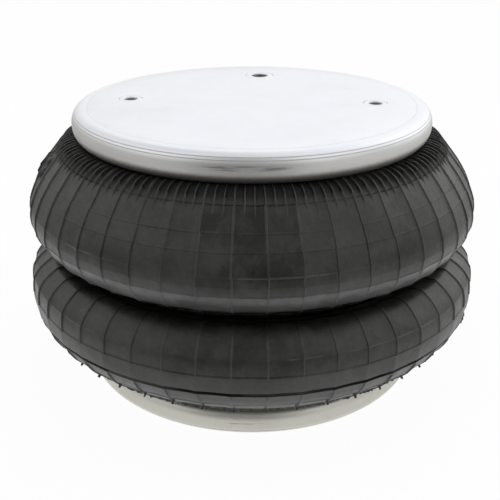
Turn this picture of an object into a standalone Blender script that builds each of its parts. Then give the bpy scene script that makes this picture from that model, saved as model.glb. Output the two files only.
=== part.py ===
"""Double-convolution air bellows actuator with crimped bead plates.

Metres, +Z up. The origin is the centre of the bottom face. The blind nuts lie
along X and the air inlet lies towards +Y. The rubber is one moulding in the
real product. Here it is divided where its motion changes, so that each zone
can be stretched or squeezed between the rigid rings that bound it.
"""
import math

import bmesh
import bpy
from mathutils import Matrix

# Overall sizes
INCH = 0.0254
FREE_HEIGHT = 7.0 * INCH
COMPRESSED_HEIGHT = 4.0 * INCH
PLATE_RADIUS = 4.5 * INCH

# Clearances
SEAT_GAP = 0.0003
BUMPER_GAP = 0.0004
MERGE = 0.00001

# Crimped bead plates
PLATE_SHEET = 0.0030
CRIMP_DEPTH = 0.0180
CRIMP_REACH = 0.0081
CRIMP_FULLNESS = 2.3
LIP_ANGLE = 112.5

# Steel core of the rubber bead held in the crimp
BEAD_CORE_WIRE = 0.0030
BEAD_SLIT = 0.0024

# Girdle hoop in the waist, whose wire runs just outside the plates' rims
WAIST_HEIGHT = 0.0856
HOOP_STANDOUT = 0.0002
HOOP_WIRE = 0.0040

# Rubber wall: how far each crown stands out from the hoop's line and lies from the waist
WALL = 0.0060
CROWN_BAND = 0.0040
UPPER_BULGE = 0.0303
LOWER_BULGE = 0.0335
UPPER_CROWN_RISE = 0.0302
LOWER_CROWN_DROP = 0.0238

# Where each zone of the wall ends: past the plate's rim, past the neck, past the hoop's line
UPPER_SHOULDER_OVERHANG = 0.0042
LOWER_SHOULDER_STEP = 0.0036
UPPER_FLANK_STEP = 0.0100
LOWER_FLANK_STEP = 0.0155
UPPER_SHOULDER_FULLNESS = 1.65
LOWER_SHOULDER_FULLNESS = 2.3
UPPER_FLANK_FULLNESS = 2.5
LOWER_FLANK_FULLNESS = 3.0

# Fins moulded down the shoulders, one to each panel of the mould
PANELS = 48
FIN_HEIGHT = 0.0010
FIN_HALF_WIDTH = 0.0012

# Blind nuts, 3/8-16, closed at the inner end, set in from the plate's rim
NUT_INSET = 1.4 * INCH
NUT_SHANK = 0.0075
NUT_FLANGE = 0.0110
NUT_FLANGE_DEPTH = 0.0030
NUT_LENGTH = 0.0190
NUT_BORE = 0.0040
NUT_BORE_DEPTH = 0.0150
NUT_MOUTH = 0.0049

# Air inlet boss, 1/4-18 pipe thread, open right through, set in from the rim
INLET_INSET = 0.0383
INLET_SHANK = 0.0098
INLET_FLANGE = 0.0135
INLET_FLANGE_DEPTH = 0.0035
INLET_LENGTH = 0.0160
INLET_BORE = 0.0056
INLET_MOUTH = 0.0062

# Rubber bumper that limits the stroke, on a weld stud
BUMPER_BASE = 0.0360
BUMPER_TIP = 0.0270
BUMPER_ROUND = 0.0060
BUMPER_FLOOR = 0.0120
BUMPER_WELL = 0.0140
STUD_RADIUS = 0.0050
STUD_CLEARANCE = 0.0004
WASHER_RADIUS = 0.0120
WASHER_DEPTH = 0.0020
LOCKNUT_ACROSS_FLATS = 0.0170
LOCKNUT_DEPTH = 0.0080
STUD_STANDOUT = 0.0030
STUD_CHAMFER = 0.0010

# Points on the curved lines; the bead shares those of the crimp's inner line
CRIMP_POINTS = 10
CAVITY_POINTS = 6
POCKET_POINTS = 9
WALL_POINTS = 6
GROOVE_POINTS = 7
BACK_POINTS = 6
CORNER_POINTS = 4
CORE_SIDES = 6
HOOP_SIDES = 8

# Facets round each turned piece
METAL_STEPS = 36
RUBBER_STEPS = 36
SMALL_STEPS = 16
SHARP_ANGLE = math.radians(35.0)


def clear_scene():
    """Remove every object that the file opens with."""
    for leftover in list(bpy.data.objects):
        bpy.data.objects.remove(leftover, do_unlink=True)


def new_collection(name):
    """A collection linked to the scene."""
    group = bpy.data.collections.new(name)
    bpy.context.scene.collection.children.link(group)
    return group


def look(name, colour, roughness, metallic=0.0):
    """A plain material with one principled shader."""
    material = bpy.data.materials.new(name)
    material.use_nodes = True
    shader = material.node_tree.nodes["Principled BSDF"]
    shader.inputs["Base Color"].default_value = (*colour, 1.0)
    shader.inputs["Roughness"].default_value = roughness
    shader.inputs["Metallic"].default_value = metallic
    return material


def empty_at(name, height, parent=None):
    """An empty that carries one moving end or ring, at its own height."""
    holder = bpy.data.objects.new(name, None)
    holder.location.z = height
    PARTS.objects.link(holder)
    if parent:
        holder.parent = parent
        holder.location.z = height - parent.matrix_world.translation.z
    bpy.context.view_layer.update()
    return holder


# Outlines are lists of (radius, height) points in the plane of +X and +Z

def arc(centre, half, start, stop, count, fullness=2.0):
    """Points on a superellipse, with angles in degrees and 2 for a plain ellipse."""
    points = []
    for index in range(count):
        angle = math.radians(start + (stop - start) * index / (count - 1))
        across = math.copysign(abs(math.cos(angle)) ** (2.0 / fullness), math.cos(angle))
        along = math.copysign(abs(math.sin(angle)) ** (2.0 / fullness), math.sin(angle))
        points.append((centre[0] + half[0] * across, centre[1] + half[1] * along))
    return points


def polygon(centre, radius, sides):
    """Corners of a regular polygon, the first one straight up."""
    return arc(centre, (radius, radius), 90, 90 - 360 * (sides - 1) / sides, sides)


def falling_line(crown, end, fullness):
    """Outer line of a wall zone, from the edge of the crown band to the zone's end."""
    drop = crown[0] - end[0]
    rise = end[1] - crown[1]
    first = (CROWN_BAND / 2 + SEAT_GAP) / abs(rise)
    points = []
    for index in range(WALL_POINTS):
        share = first + (1.0 - first) * index / (WALL_POINTS - 1)
        points.append((crown[0] - drop * share ** fullness, crown[1] + rise * share))
    return points


def inner_line(outer, depth):
    """The line at a given depth inside an outer line that starts upright, at the crown."""
    side = 1.0 if outer[-1][1] > outer[0][1] else -1.0
    points = [(outer[0][0] - depth, outer[0][1])]
    for before, here, after in zip(outer, outer[1:], outer[2:] + outer[-1:]):
        run = (after[0] - before[0], after[1] - before[1])
        length = math.hypot(*run)
        points.append((here[0] - side * depth * run[1] / length, here[1] + side * depth * run[0] / length))
    return points


def turned(name, outline, steps, material, holder, closed=True):
    """Turn an outline about Z into a solid, and hang it on its holder."""
    count = len(outline)
    area = sum(
        outline[i][0] * outline[(i + 1) % count][1] - outline[(i + 1) % count][0] * outline[i][1]
        for i in range(count)
    )
    if area > 0:
        outline = outline[::-1]
    mesh = bpy.data.meshes.new(name)
    edges = [(i, (i + 1) % count) for i in range(count if closed else count - 1)]
    mesh.from_pydata([(radius, 0.0, height) for radius, height in outline], edges, [])
    piece = bpy.data.objects.new(name, mesh)
    PARTS.objects.link(piece)
    screw = piece.modifiers.new("turn", "SCREW")
    screw.steps = steps
    screw.render_steps = steps
    screw.use_merge_vertices = True
    screw.merge_threshold = MERGE
    settle(piece)
    return finished(piece, material, holder)


def settle(piece):
    """Give a piece the mesh that its modifiers make, and clear them."""
    rough = piece.data
    bpy.context.view_layer.update()
    ready = piece.evaluated_get(bpy.context.evaluated_depsgraph_get())
    piece.data = bpy.data.meshes.new_from_object(ready)
    piece.modifiers.clear()
    bpy.data.meshes.remove(rough)
    piece.data.name = piece.name


def finished(piece, material, holder):
    """Shade a piece, give it its material and parent it."""
    piece.data.shade_smooth()
    piece.data.set_sharp_from_angle(angle=SHARP_ANGLE)
    piece.data.materials.clear()
    piece.data.materials.append(material)
    piece.parent = holder
    return piece


def cut_hole(piece, radius, place, depth):
    """Cut a round hole along Z through a piece, with a hidden cutter on the same holder."""
    mesh = bpy.data.meshes.new("cut_" + piece.name)
    shape = bmesh.new()
    bmesh.ops.create_cone(
        shape, cap_ends=True, segments=SMALL_STEPS, radius1=radius, radius2=radius, depth=depth
    )
    shape.to_mesh(mesh)
    shape.free()
    cutter = bpy.data.objects.new("cut_" + piece.name, mesh)
    CUTTERS.objects.link(cutter)
    cutter.parent = piece.parent
    cutter.location = place
    cutter.rotation_euler = piece.rotation_euler
    cutter.hide_render = True
    cutter.display_type = "WIRE"
    boolean = piece.modifiers.new("hole", "BOOLEAN")
    boolean.operation = "DIFFERENCE"
    boolean.object = cutter


def bead_plate(name, holder, turn):
    """Sheet plate whose rim is rolled over the bead, face outwards at its holder."""
    outside = (CRIMP_REACH, CRIMP_DEPTH / 2)
    inside = (CRIMP_REACH - PLATE_SHEET, CRIMP_DEPTH / 2 - PLATE_SHEET)
    outline = [(0.0, 0.0)]
    outline += arc(CRIMP_CENTRE, outside, 90, -LIP_ANGLE, CRIMP_POINTS, CRIMP_FULLNESS)
    outline += arc(CRIMP_CENTRE, inside, -LIP_ANGLE, 90, CAVITY_POINTS, CRIMP_FULLNESS)
    outline += [(0.0, -PLATE_SHEET)]
    plate = turned(name, outline, METAL_STEPS, ZINC, holder, closed=False)
    plate.rotation_euler.x = turn
    for side in (-1, 1):
        cut_hole(plate, NUT_SHANK + SEAT_GAP, (side * NUT_OFFSET, 0, 0), CRIMP_DEPTH)
    return plate


def bead(name, holder, turn):
    """Rubber bead that fills the crimp and wraps its core, open on the slit where the plies end."""
    reach = (CRIMP_REACH - PLATE_SHEET - SEAT_GAP, CRIMP_DEPTH / 2 - PLATE_SHEET - SEAT_GAP)
    foot = -CRIMP_DEPTH
    pocket = BEAD_CORE_WIRE + SEAT_GAP
    slit_angle = math.degrees(math.asin(BEAD_SLIT / 2 / pocket))
    inner = NECK_RADIUS - WALL
    outline = [(inner, -CRIMP_DEPTH / 2 + BEAD_SLIT / 2), (inner, CRIMP_CENTRE[1] + reach[1])]
    outline += arc(CRIMP_CENTRE, reach, 90, -LIP_ANGLE, CAVITY_POINTS, CRIMP_FULLNESS)
    outline += [(NECK_RADIUS, outline[-1][1]), (NECK_RADIUS, foot), (inner, foot)]
    outline += [(inner, -CRIMP_DEPTH / 2 - BEAD_SLIT / 2)]
    middle = (NECK_RADIUS, -CRIMP_DEPTH / 2)
    outline += arc(middle, (pocket, pocket), slit_angle - 180, 180 - slit_angle, POCKET_POINTS)
    ring = turned(name, outline, METAL_STEPS, RUBBER, holder)
    ring.rotation_euler.x = turn
    return ring


def bead_core(name, holder, turn):
    """Six-sided bundle of steel wire that anchors the plies in the bead."""
    outline = polygon((NECK_RADIUS, -CRIMP_DEPTH / 2), BEAD_CORE_WIRE, CORE_SIDES)
    core = turned(name, outline, METAL_STEPS, WIRE, holder)
    core.rotation_euler.x = turn
    return core


def shoulder_wall(name, crown, end, fullness, holder):
    """Wall zone from a crown to the bead, which it meets face to face under the lip.

    One panel with its fin is modelled and then repeated round the axis. The fin
    stands square to the wall and dies away at the lip.
    """
    outer = falling_line(crown, end, fullness)
    crest = inner_line(outer, -FIN_HEIGHT)[:-1] + outer[-1:]
    side = math.copysign(1.0, end[1] - crown[1])
    neck = NECK_RADIUS - WALL
    back = [(neck, end[1]), (neck, end[1] - side * WALL)] + inner_line(outer, WALL)[::-1]
    pitch = 2 * math.pi / PANELS
    foot = FIN_HALF_WIDTH / crown[0]
    lines = [(-foot, outer), (0.0, crest), (foot, outer), (pitch - foot, outer)]
    lines += [(-foot, back), (pitch - foot, back)]
    points, faces = panel_skin(lines, holder.matrix_world.translation.z)
    if side < 0:
        faces = [face[::-1] for face in faces]
    mesh = bpy.data.meshes.new(name)
    mesh.from_pydata(points, [], faces)
    wall = bpy.data.objects.new(name, mesh)
    PARTS.objects.link(wall)
    repeat_round(wall, pitch)
    return finished(wall, RUBBER, holder)


def panel_skin(lines, base):
    """Points and faces of one panel, from four lines on its outer side and two on its back."""
    points = []
    columns = []
    for turn, line in lines:
        columns.append(list(range(len(points), len(points) + len(line))))
        points += [(r * math.cos(turn), r * math.sin(turn), height - base) for r, height in line]
    faces = []
    for left, right in ((0, 1), (1, 2), (2, 3), (4, 5)):
        for index in range(len(columns[left]) - 1):
            here = (columns[left][index], columns[right][index])
            after = (columns[right][index + 1], columns[left][index + 1])
            faces.append(here + after)
    faces.append([column[-1] for column in columns[:4]] + [columns[5][0], columns[4][0]])
    faces.append([columns[4][-1], columns[5][-1]] + [column[0] for column in columns[3::-1]])
    return points, faces


def repeat_round(piece, pitch):
    """Repeat one panel round Z with an array about a turned pivot, and close it on itself."""
    pivot = bpy.data.objects.new("pivot", None)
    pivot.rotation_euler.z = pitch
    PARTS.objects.link(pivot)
    array = piece.modifiers.new("panels", "ARRAY")
    array.count = PANELS
    array.use_relative_offset = False
    array.use_object_offset = True
    array.offset_object = pivot
    array.use_merge_vertices = True
    array.use_merge_vertices_cap = True
    array.merge_threshold = MERGE
    settle(piece)
    bpy.data.objects.remove(pivot)


def waist_wall(name, crown, end, fullness, holder):
    """Wall zone from a crown to the waist band, which it meets beside the hoop."""
    outer = falling_line(crown, end, fullness)
    inner = inner_line(outer, WALL)
    side = math.copysign(1.0, crown[1] - end[1])
    root = HOOP_RADIUS + SEAT_GAP
    outline = outer + [(root, end[1]), (root, end[1] + side * WALL)] + inner[::-1]
    return placed_turn(name, outline, RUBBER_STEPS, RUBBER, holder)


def crown_band(name, crown, holder):
    """Narrow band round the widest line of a convolution."""
    half = CROWN_BAND / 2
    radius, height = crown
    outline = [
        (radius, height + half),
        (radius, height - half),
        (radius - WALL, height - half),
        (radius - WALL, height + half),
    ]
    return placed_turn(name, outline, RUBBER_STEPS, RUBBER, holder)


def waist_band(name, holder):
    """Rubber that turns from one convolution to the next around the hoop's inner side."""
    seat = HOOP_WIRE + SEAT_GAP
    back = seat + WALL
    outline = arc((HOOP_RADIUS, 0), (seat, seat), 90, 270, GROOVE_POINTS)
    outline += arc((HOOP_RADIUS, 0), (back, back), 270, 90, BACK_POINTS)
    return turned(name, outline, RUBBER_STEPS, RUBBER, holder)


def girdle_hoop(name, holder):
    """Round steel hoop that keeps the waist from growing under pressure."""
    return turned(name, polygon((HOOP_RADIUS, 0), HOOP_WIRE, HOOP_SIDES), RUBBER_STEPS, WIRE, holder)


def placed_turn(name, outline, steps, material, holder):
    """Turn an outline given in heights from the bottom face, relative to its holder."""
    base = holder.matrix_world.translation.z
    local = [(radius, height - base) for radius, height in outline]
    return turned(name, local, steps, material, holder)


def blind_nut(name, place, holder, turn):
    """Closed-end nut clinched in a plate, flush with the plate's face."""
    flange_top = -PLATE_SHEET - SEAT_GAP
    flange_foot = flange_top - NUT_FLANGE_DEPTH
    chamfer = NUT_MOUTH - NUT_BORE
    outline = [
        (0.0, -NUT_BORE_DEPTH),
        (NUT_BORE, -NUT_BORE_DEPTH + NUT_BORE / 2),
        (NUT_BORE, -chamfer),
        (NUT_MOUTH, 0.0),
        (NUT_SHANK, 0.0),
        (NUT_SHANK, flange_top),
        (NUT_FLANGE, flange_top),
        (NUT_FLANGE, flange_foot),
        (NUT_SHANK, flange_foot),
        (NUT_SHANK, -NUT_LENGTH),
        (0.0, -NUT_LENGTH),
    ]
    nut = turned(name, outline, SMALL_STEPS, ZINC, holder, closed=False)
    nut.location = place
    nut.rotation_euler.x = turn
    return nut


def air_inlet_boss(name, holder):
    """Threaded boss for the air line, open right through the top plate."""
    flange_top = -PLATE_SHEET - SEAT_GAP
    flange_foot = flange_top - INLET_FLANGE_DEPTH
    outline = [
        (INLET_MOUTH, 0.0),
        (INLET_SHANK, 0.0),
        (INLET_SHANK, flange_top),
        (INLET_FLANGE, flange_top),
        (INLET_FLANGE, flange_foot),
        (INLET_SHANK, flange_foot),
        (INLET_SHANK, -INLET_LENGTH),
        (INLET_BORE, -INLET_LENGTH),
    ]
    boss = turned(name, outline, SMALL_STEPS, ZINC, holder)
    boss.location.y = INLET_OFFSET
    return boss


def bumper(name, holder):
    """Hollow rubber stop that stands on the bottom plate inside the bellows."""
    foot = PLATE_SHEET + SEAT_GAP
    top = COMPRESSED_HEIGHT - PLATE_SHEET - BUMPER_GAP
    floor = foot + BUMPER_FLOOR
    bore = STUD_RADIUS + STUD_CLEARANCE
    corner = (BUMPER_TIP - BUMPER_ROUND, top - BUMPER_ROUND)
    outline = [(bore, floor), (BUMPER_WELL, floor), (BUMPER_WELL, top)]
    outline += arc(corner, (BUMPER_ROUND, BUMPER_ROUND), 90, 0, CORNER_POINTS)
    outline += [(BUMPER_BASE, foot + BUMPER_FLOOR), (BUMPER_BASE, foot), (bore, foot)]
    return turned(name, outline, SMALL_STEPS, BUMPER_RUBBER, holder)


def bumper_fastening(holder):
    """Weld stud, washer and locknut that hold the bumper down through its floor."""
    foot = PLATE_SHEET + SEAT_GAP
    washer_foot = foot + BUMPER_FLOOR + SEAT_GAP
    nut_foot = washer_foot + WASHER_DEPTH + SEAT_GAP
    stud_top = nut_foot + LOCKNUT_DEPTH + STUD_STANDOUT
    bore = STUD_RADIUS + STUD_CLEARANCE
    stud = [
        (0.0, stud_top),
        (STUD_RADIUS - STUD_CHAMFER, stud_top),
        (STUD_RADIUS, stud_top - STUD_CHAMFER),
        (STUD_RADIUS, foot),
        (0.0, foot),
    ]
    turned("bumper_stud", stud, SMALL_STEPS, WIRE, holder, closed=False)
    washer = [
        (WASHER_RADIUS, washer_foot + WASHER_DEPTH),
        (WASHER_RADIUS, washer_foot),
        (bore, washer_foot),
        (bore, washer_foot + WASHER_DEPTH),
    ]
    turned("bumper_washer", washer, SMALL_STEPS, WIRE, holder)
    locknut(nut_foot, bore, holder)


def locknut(foot, bore, holder):
    """Six-sided nut on the bumper's stud."""
    corner = LOCKNUT_ACROSS_FLATS / math.sqrt(3)
    middle = Matrix.Translation((0, 0, foot + LOCKNUT_DEPTH / 2))
    mesh = bpy.data.meshes.new("bumper_locknut")
    shape = bmesh.new()
    bmesh.ops.create_cone(
        shape, cap_ends=True, segments=6, radius1=corner, radius2=corner, depth=LOCKNUT_DEPTH, matrix=middle
    )
    shape.to_mesh(mesh)
    shape.free()
    nut = bpy.data.objects.new("bumper_locknut", mesh)
    PARTS.objects.link(nut)
    finished(nut, WIRE, holder)
    cut_hole(nut, bore, (0, 0, foot + LOCKNUT_DEPTH / 2), LOCKNUT_DEPTH * 2)


# Sizes that follow from the ones above
NUT_OFFSET = PLATE_RADIUS - NUT_INSET
INLET_OFFSET = PLATE_RADIUS - INLET_INSET
HOOP_RADIUS = PLATE_RADIUS + HOOP_STANDOUT
CRIMP_CENTRE = (PLATE_RADIUS - CRIMP_REACH, -CRIMP_DEPTH / 2)
LIP_RADIUS = arc(CRIMP_CENTRE, (CRIMP_REACH, CRIMP_DEPTH / 2), 90, -LIP_ANGLE, 2, CRIMP_FULLNESS)[-1][0]
NECK_RADIUS = LIP_RADIUS - SEAT_GAP
WALL_END = CRIMP_DEPTH + SEAT_GAP
HOOP_SEAT = HOOP_WIRE + SEAT_GAP
UPPER_CROWN = (HOOP_RADIUS + UPPER_BULGE, WAIST_HEIGHT + UPPER_CROWN_RISE)
LOWER_CROWN = (HOOP_RADIUS + LOWER_BULGE, WAIST_HEIGHT - LOWER_CROWN_DROP)

clear_scene()
PARTS = new_collection("air_bellows_actuator")
CUTTERS = new_collection("cutters")

ZINC = look("zinc_plated_steel", (0.80, 0.81, 0.80), 0.38, 1.0)
WIRE = look("steel_wire", (0.42, 0.42, 0.43), 0.45, 1.0)
RUBBER = look("moulded_rubber", (0.045, 0.045, 0.047), 0.72)
BUMPER_RUBBER = look("bumper_rubber", (0.030, 0.030, 0.032), 0.80)

# The chain of moving rings, from the bottom plate up
LOWER_END = empty_at("lower_end", 0.0)
LOWER_RING = empty_at("lower_crown", LOWER_CROWN[1], LOWER_END)
WAIST = empty_at("waist", WAIST_HEIGHT, LOWER_RING)
UPPER_RING = empty_at("upper_crown", UPPER_CROWN[1], WAIST)
UPPER_END = empty_at("upper_end", FREE_HEIGHT, UPPER_RING)

for place, end, flip in (("top", UPPER_END, 0.0), ("bottom", LOWER_END, math.pi)):
    level = "upper" if place == "top" else "lower"
    rim = bead_plate(place + "_bead_plate", end, flip)
    bead(level + "_bead", end, flip)
    bead_core(level + "_bead_core", end, flip)
    for hand, sign in (("left", -1), ("right", 1)):
        blind_nut(f"{place}_blind_nut_{hand}", (sign * NUT_OFFSET, 0, 0), end, flip)
    if place == "top":
        cut_hole(rim, INLET_SHANK + SEAT_GAP, (0, INLET_OFFSET, 0), CRIMP_DEPTH)

air_inlet_boss("air_inlet_boss", UPPER_END)

shoulder_wall(
    "upper_shoulder_wall", UPPER_CROWN, (PLATE_RADIUS + UPPER_SHOULDER_OVERHANG, FREE_HEIGHT - WALL_END),
    UPPER_SHOULDER_FULLNESS, UPPER_END,
)
crown_band("upper_crown_band", UPPER_CROWN, UPPER_RING)
waist_wall(
    "upper_waist_wall", UPPER_CROWN, (HOOP_RADIUS + UPPER_FLANK_STEP, WAIST_HEIGHT + HOOP_SEAT),
    UPPER_FLANK_FULLNESS, WAIST,
)
waist_band("waist_band", WAIST)
girdle_hoop("girdle_hoop", WAIST)
waist_wall(
    "lower_waist_wall", LOWER_CROWN, (HOOP_RADIUS + LOWER_FLANK_STEP, WAIST_HEIGHT - HOOP_SEAT),
    LOWER_FLANK_FULLNESS, WAIST,
)
crown_band("lower_crown_band", LOWER_CROWN, LOWER_RING)
shoulder_wall(
    "lower_shoulder_wall", LOWER_CROWN, (NECK_RADIUS + LOWER_SHOULDER_STEP, WALL_END),
    LOWER_SHOULDER_FULLNESS, LOWER_END,
)

bumper("bumper", LOWER_END)
bumper_fastening(LOWER_END)
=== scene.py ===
# %% [markdown]
# # An air bellows actuator
#
# The real object is an air spring. Two steel plates are crimped onto the beads of a moulded
# rubber bellows with two lobes, and a steel hoop holds its waist. This notebook dresses the
# packed CAD model. The waist, the plates, the nuts and the inlet made here ride on empties named for its
# moving bodies.

# %% Load the frame and keep its size
import math

import bmesh
import bpy
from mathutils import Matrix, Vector


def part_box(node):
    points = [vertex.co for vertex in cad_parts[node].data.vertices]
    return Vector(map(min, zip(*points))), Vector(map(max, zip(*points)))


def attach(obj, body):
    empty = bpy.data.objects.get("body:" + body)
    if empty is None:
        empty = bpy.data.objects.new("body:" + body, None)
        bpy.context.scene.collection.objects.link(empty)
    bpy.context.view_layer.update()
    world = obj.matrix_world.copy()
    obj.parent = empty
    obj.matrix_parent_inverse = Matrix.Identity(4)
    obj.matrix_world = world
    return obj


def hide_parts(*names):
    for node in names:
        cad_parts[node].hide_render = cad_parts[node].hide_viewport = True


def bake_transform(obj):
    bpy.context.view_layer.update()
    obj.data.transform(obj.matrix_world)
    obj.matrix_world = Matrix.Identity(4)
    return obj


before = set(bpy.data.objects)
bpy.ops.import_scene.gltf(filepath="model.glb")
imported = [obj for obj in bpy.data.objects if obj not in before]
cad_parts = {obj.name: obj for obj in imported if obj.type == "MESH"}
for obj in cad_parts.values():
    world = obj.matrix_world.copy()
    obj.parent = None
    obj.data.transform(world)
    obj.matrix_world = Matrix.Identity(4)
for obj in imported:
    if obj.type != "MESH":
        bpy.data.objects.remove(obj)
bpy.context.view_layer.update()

# %% [markdown]
# ## Camera
#
# The photograph was taken from about half a metre away and a little above. The rims of the top
# plate are circles, so the ellipses that they make in the picture give the camera's place, tilt
# and lens. A camera could also be matched by eye, but the ellipses leave less to chance.

# %% Camera at the photograph's viewing angle
CAMERA_PLACE = (0.0376, -0.5132, 0.3048)
CAMERA_TILT = math.radians(65.71)
CAMERA_TURN = math.radians(4.32)
camera_data = bpy.data.cameras.new("camera")
camera_data.lens = 58.46
camera_data.sensor_width = 36.0
camera_data.clip_start = 0.01
camera = bpy.data.objects.new("camera", camera_data)
camera.location = CAMERA_PLACE
camera.rotation_euler = (CAMERA_TILT, 0.0, CAMERA_TURN)
bpy.context.scene.collection.objects.link(camera)
bpy.context.scene.camera = camera
bpy.context.scene.view_settings.view_transform = "Standard"
print("camera at", tuple(camera.location))

# %% [markdown]
# ## Helpers for node trees
#
# Node trees could be drawn by hand in the editor, but in a script they are easier to read as
# sums than as boxes. A Field wraps one output socket, and its arithmetic adds Math nodes to the
# tree. The same helper serves shader trees and geometry trees.

# %% A field that writes Math nodes
def add_node(tree, kind, inputs=None, **settings):
    """A new node with its settings, its inputs set or linked."""
    made = tree.nodes.new(kind)
    for key, value in settings.items():
        setattr(made, key, value)
    for key, value in (inputs or {}).items():
        feed(tree, value, made.inputs[key])
    return made


def feed(tree, value, socket):
    """Link a field or a socket to a socket, or set the socket's own value."""
    if isinstance(value, Field):
        value = value.socket
    if isinstance(value, bpy.types.NodeSocket):
        tree.links.new(value, socket)
    else:
        socket.default_value = value


class Field:
    """One number that flows through a node tree."""

    def __init__(self, tree, socket):
        self.tree = tree
        self.socket = socket

    def math(self, operation, *others):
        """The result of a Math node on this field and other fields or numbers."""
        made = self.tree.nodes.new("ShaderNodeMath")
        made.operation = operation
        for slot, value in enumerate((self, *others)):
            feed(self.tree, value, made.inputs[slot])
        return Field(self.tree, made.outputs[0])

    def __add__(self, other):
        return self.math("ADD", other)

    def __sub__(self, other):
        return self.math("SUBTRACT", other)

    def __mul__(self, other):
        return self.math("MULTIPLY", other)

    def __truediv__(self, other):
        return self.math("DIVIDE", other)

    def __mod__(self, other):
        return self.math("FLOORED_MODULO", other)

    def from_range(self, low, high, to_low=0.0, to_high=1.0):
        """This field's place between two values, eased at both ends."""
        made = add_node(
            self.tree, "ShaderNodeMapRange",
            {"Value": self, "From Min": low, "From Max": high, "To Min": to_low, "To Max": to_high},
            interpolation_type="SMOOTHSTEP",
        )
        return Field(self.tree, made.outputs["Result"])


print("fields can", [name for name in vars(Field) if not name.startswith("__")])


# %% Colours, and the value that a mesh attribute brings to a material
def mix_colours(tree, share, first, second):
    """A colour between two colours or colour sockets."""
    made = add_node(tree, "ShaderNodeMix", data_type="RGBA")
    feed(tree, share, made.inputs[0])
    feed(tree, first, made.inputs[6])
    feed(tree, second, made.inputs[7])
    return made.outputs[2]


def grey(value):
    """A grey as a colour."""
    return (value, value, value, 1.0)


def attribute(tree, name):
    """A number that a mesh carries, as a field."""
    return Field(tree, add_node(tree, "ShaderNodeAttribute", attribute_name=name).outputs["Fac"])


WHITE = grey(1.0)
print("white is", WHITE)

# %% [markdown]
# ## Studio
#
# A white sheet lies under and behind the object, soft boxes stand at its sides and above, and
# the room behind the camera is dark. That is why the rubber is bright at its sides and nearly
# black where it faces the camera, and why the plate's rim shows a dark band in front. A ring of
# many lamps could light it so, but one world whose brightness depends on direction is simpler.

# %% The world, by direction
def level_ring(tree, source):
    """The level distance of a vector from the axis, and its shares across, ahead and up."""
    parts = add_node(tree, "ShaderNodeSeparateXYZ", {"Vector": source})
    across = Field(tree, parts.outputs["X"])
    depth = Field(tree, parts.outputs["Y"])
    level = (across * across + depth * depth).math("SQRT").math("MAXIMUM", 0.001)
    return level, across / level, depth * -1.0 / level, Field(tree, parts.outputs["Z"])


# brightness of each part of the room, where 1 is white
WORLD_SIDE = 0.57
WORLD_BACK = 1.06
WORLD_NEAR = 0.48
WORLD_LEFT = 0.42
WORLD_RIGHT = 0.53
WORLD_FRONT = 0.10
# how much is added or lost between them
BACK_LEFT_LOSS = -0.30
LEFT_TO_RIGHT = 0.13
LOW_LOSS = -0.55
LOW_BEHIND = -0.7
ABOVE_LOSS = -0.15
FRONT_STRIPE = 0.30
# where the dark part of the room begins and is full, as a share of the way to the camera
DARK_GAP = (0.70, 0.98)


def studio_world():
    """White behind the object, pale at the sides and above, dark round the camera.

    Each range is a part of the room, by its direction's share across, ahead or up.
    """
    world = bpy.data.worlds.new("studio")
    world.use_nodes = True
    tree = world.node_tree
    tree.nodes.clear()
    direction = add_node(tree, "ShaderNodeTexCoord").outputs["Generated"]
    level, across, ahead, height = level_ring(tree, direction)
    behind = (level * ahead).from_range(0.3, -0.9)
    left = across.from_range(-0.35, -0.95)
    right = across.from_range(0.35, 0.95) * WORLD_RIGHT
    beside = ahead.math("ABSOLUTE").from_range(0.20, 0.75, 1.0, 0.0)
    glow = behind * (left * BACK_LEFT_LOSS + right + (WORLD_BACK - WORLD_SIDE))
    glow = glow + across * LEFT_TO_RIGHT + WORLD_SIDE + left * beside * WORLD_LEFT
    glow = glow + ahead.from_range(0.0, 0.7) * WORLD_NEAR
    low = height.from_range(0.0, 0.40, 1.0, 0.0) * behind.math("MULTIPLY_ADD", LOW_BEHIND, 1.0)
    above = height.from_range(0.55, 1.0)
    glow = glow * (low * LOW_LOSS + 1.0) * (above * ABOVE_LOSS + 1.0)
    gap = ahead.from_range(*DARK_GAP) * height.from_range(0.90, 1.0, 1.0, 0.0)
    stripe = height.from_range(0.15, 0.42) * height.from_range(0.60, 0.88, 1.0, 0.0)
    dim = stripe * FRONT_STRIPE + WORLD_FRONT
    glow = glow * (gap * (dim - 1.0) + 1.0)
    path = add_node(tree, "ShaderNodeLightPath")
    strength = Field(tree, path.outputs["Is Camera Ray"]).math("MAXIMUM", glow)
    light = add_node(tree, "ShaderNodeBackground", {"Color": WHITE, "Strength": strength})
    out = tree.nodes.new("ShaderNodeOutputWorld")
    tree.links.new(light.outputs[0], out.inputs[0])
    bpy.context.scene.world = world
    return world


print("world", studio_world().name)

# %% [markdown]
# The sheet is nearly white to the camera and a little duller in reflections, yet it keeps a trace
# of its real shading, so that the object's soft shadow stays on it. A shadow catcher would need
# compositing afterwards. Light Path tells which kind of ray asks, so one material answers each.

# %% The floor
FLOOR_REACH = 4.0
FLOOR_WHITE = 0.86
# how much of the white is its own, to the camera and in reflections
FLOOR_GLOW = 0.96
FLOOR_SHINE = 0.80
# how bright it is in front of the object, where beside it is 1
FLOOR_AHEAD = 0.45


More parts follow.
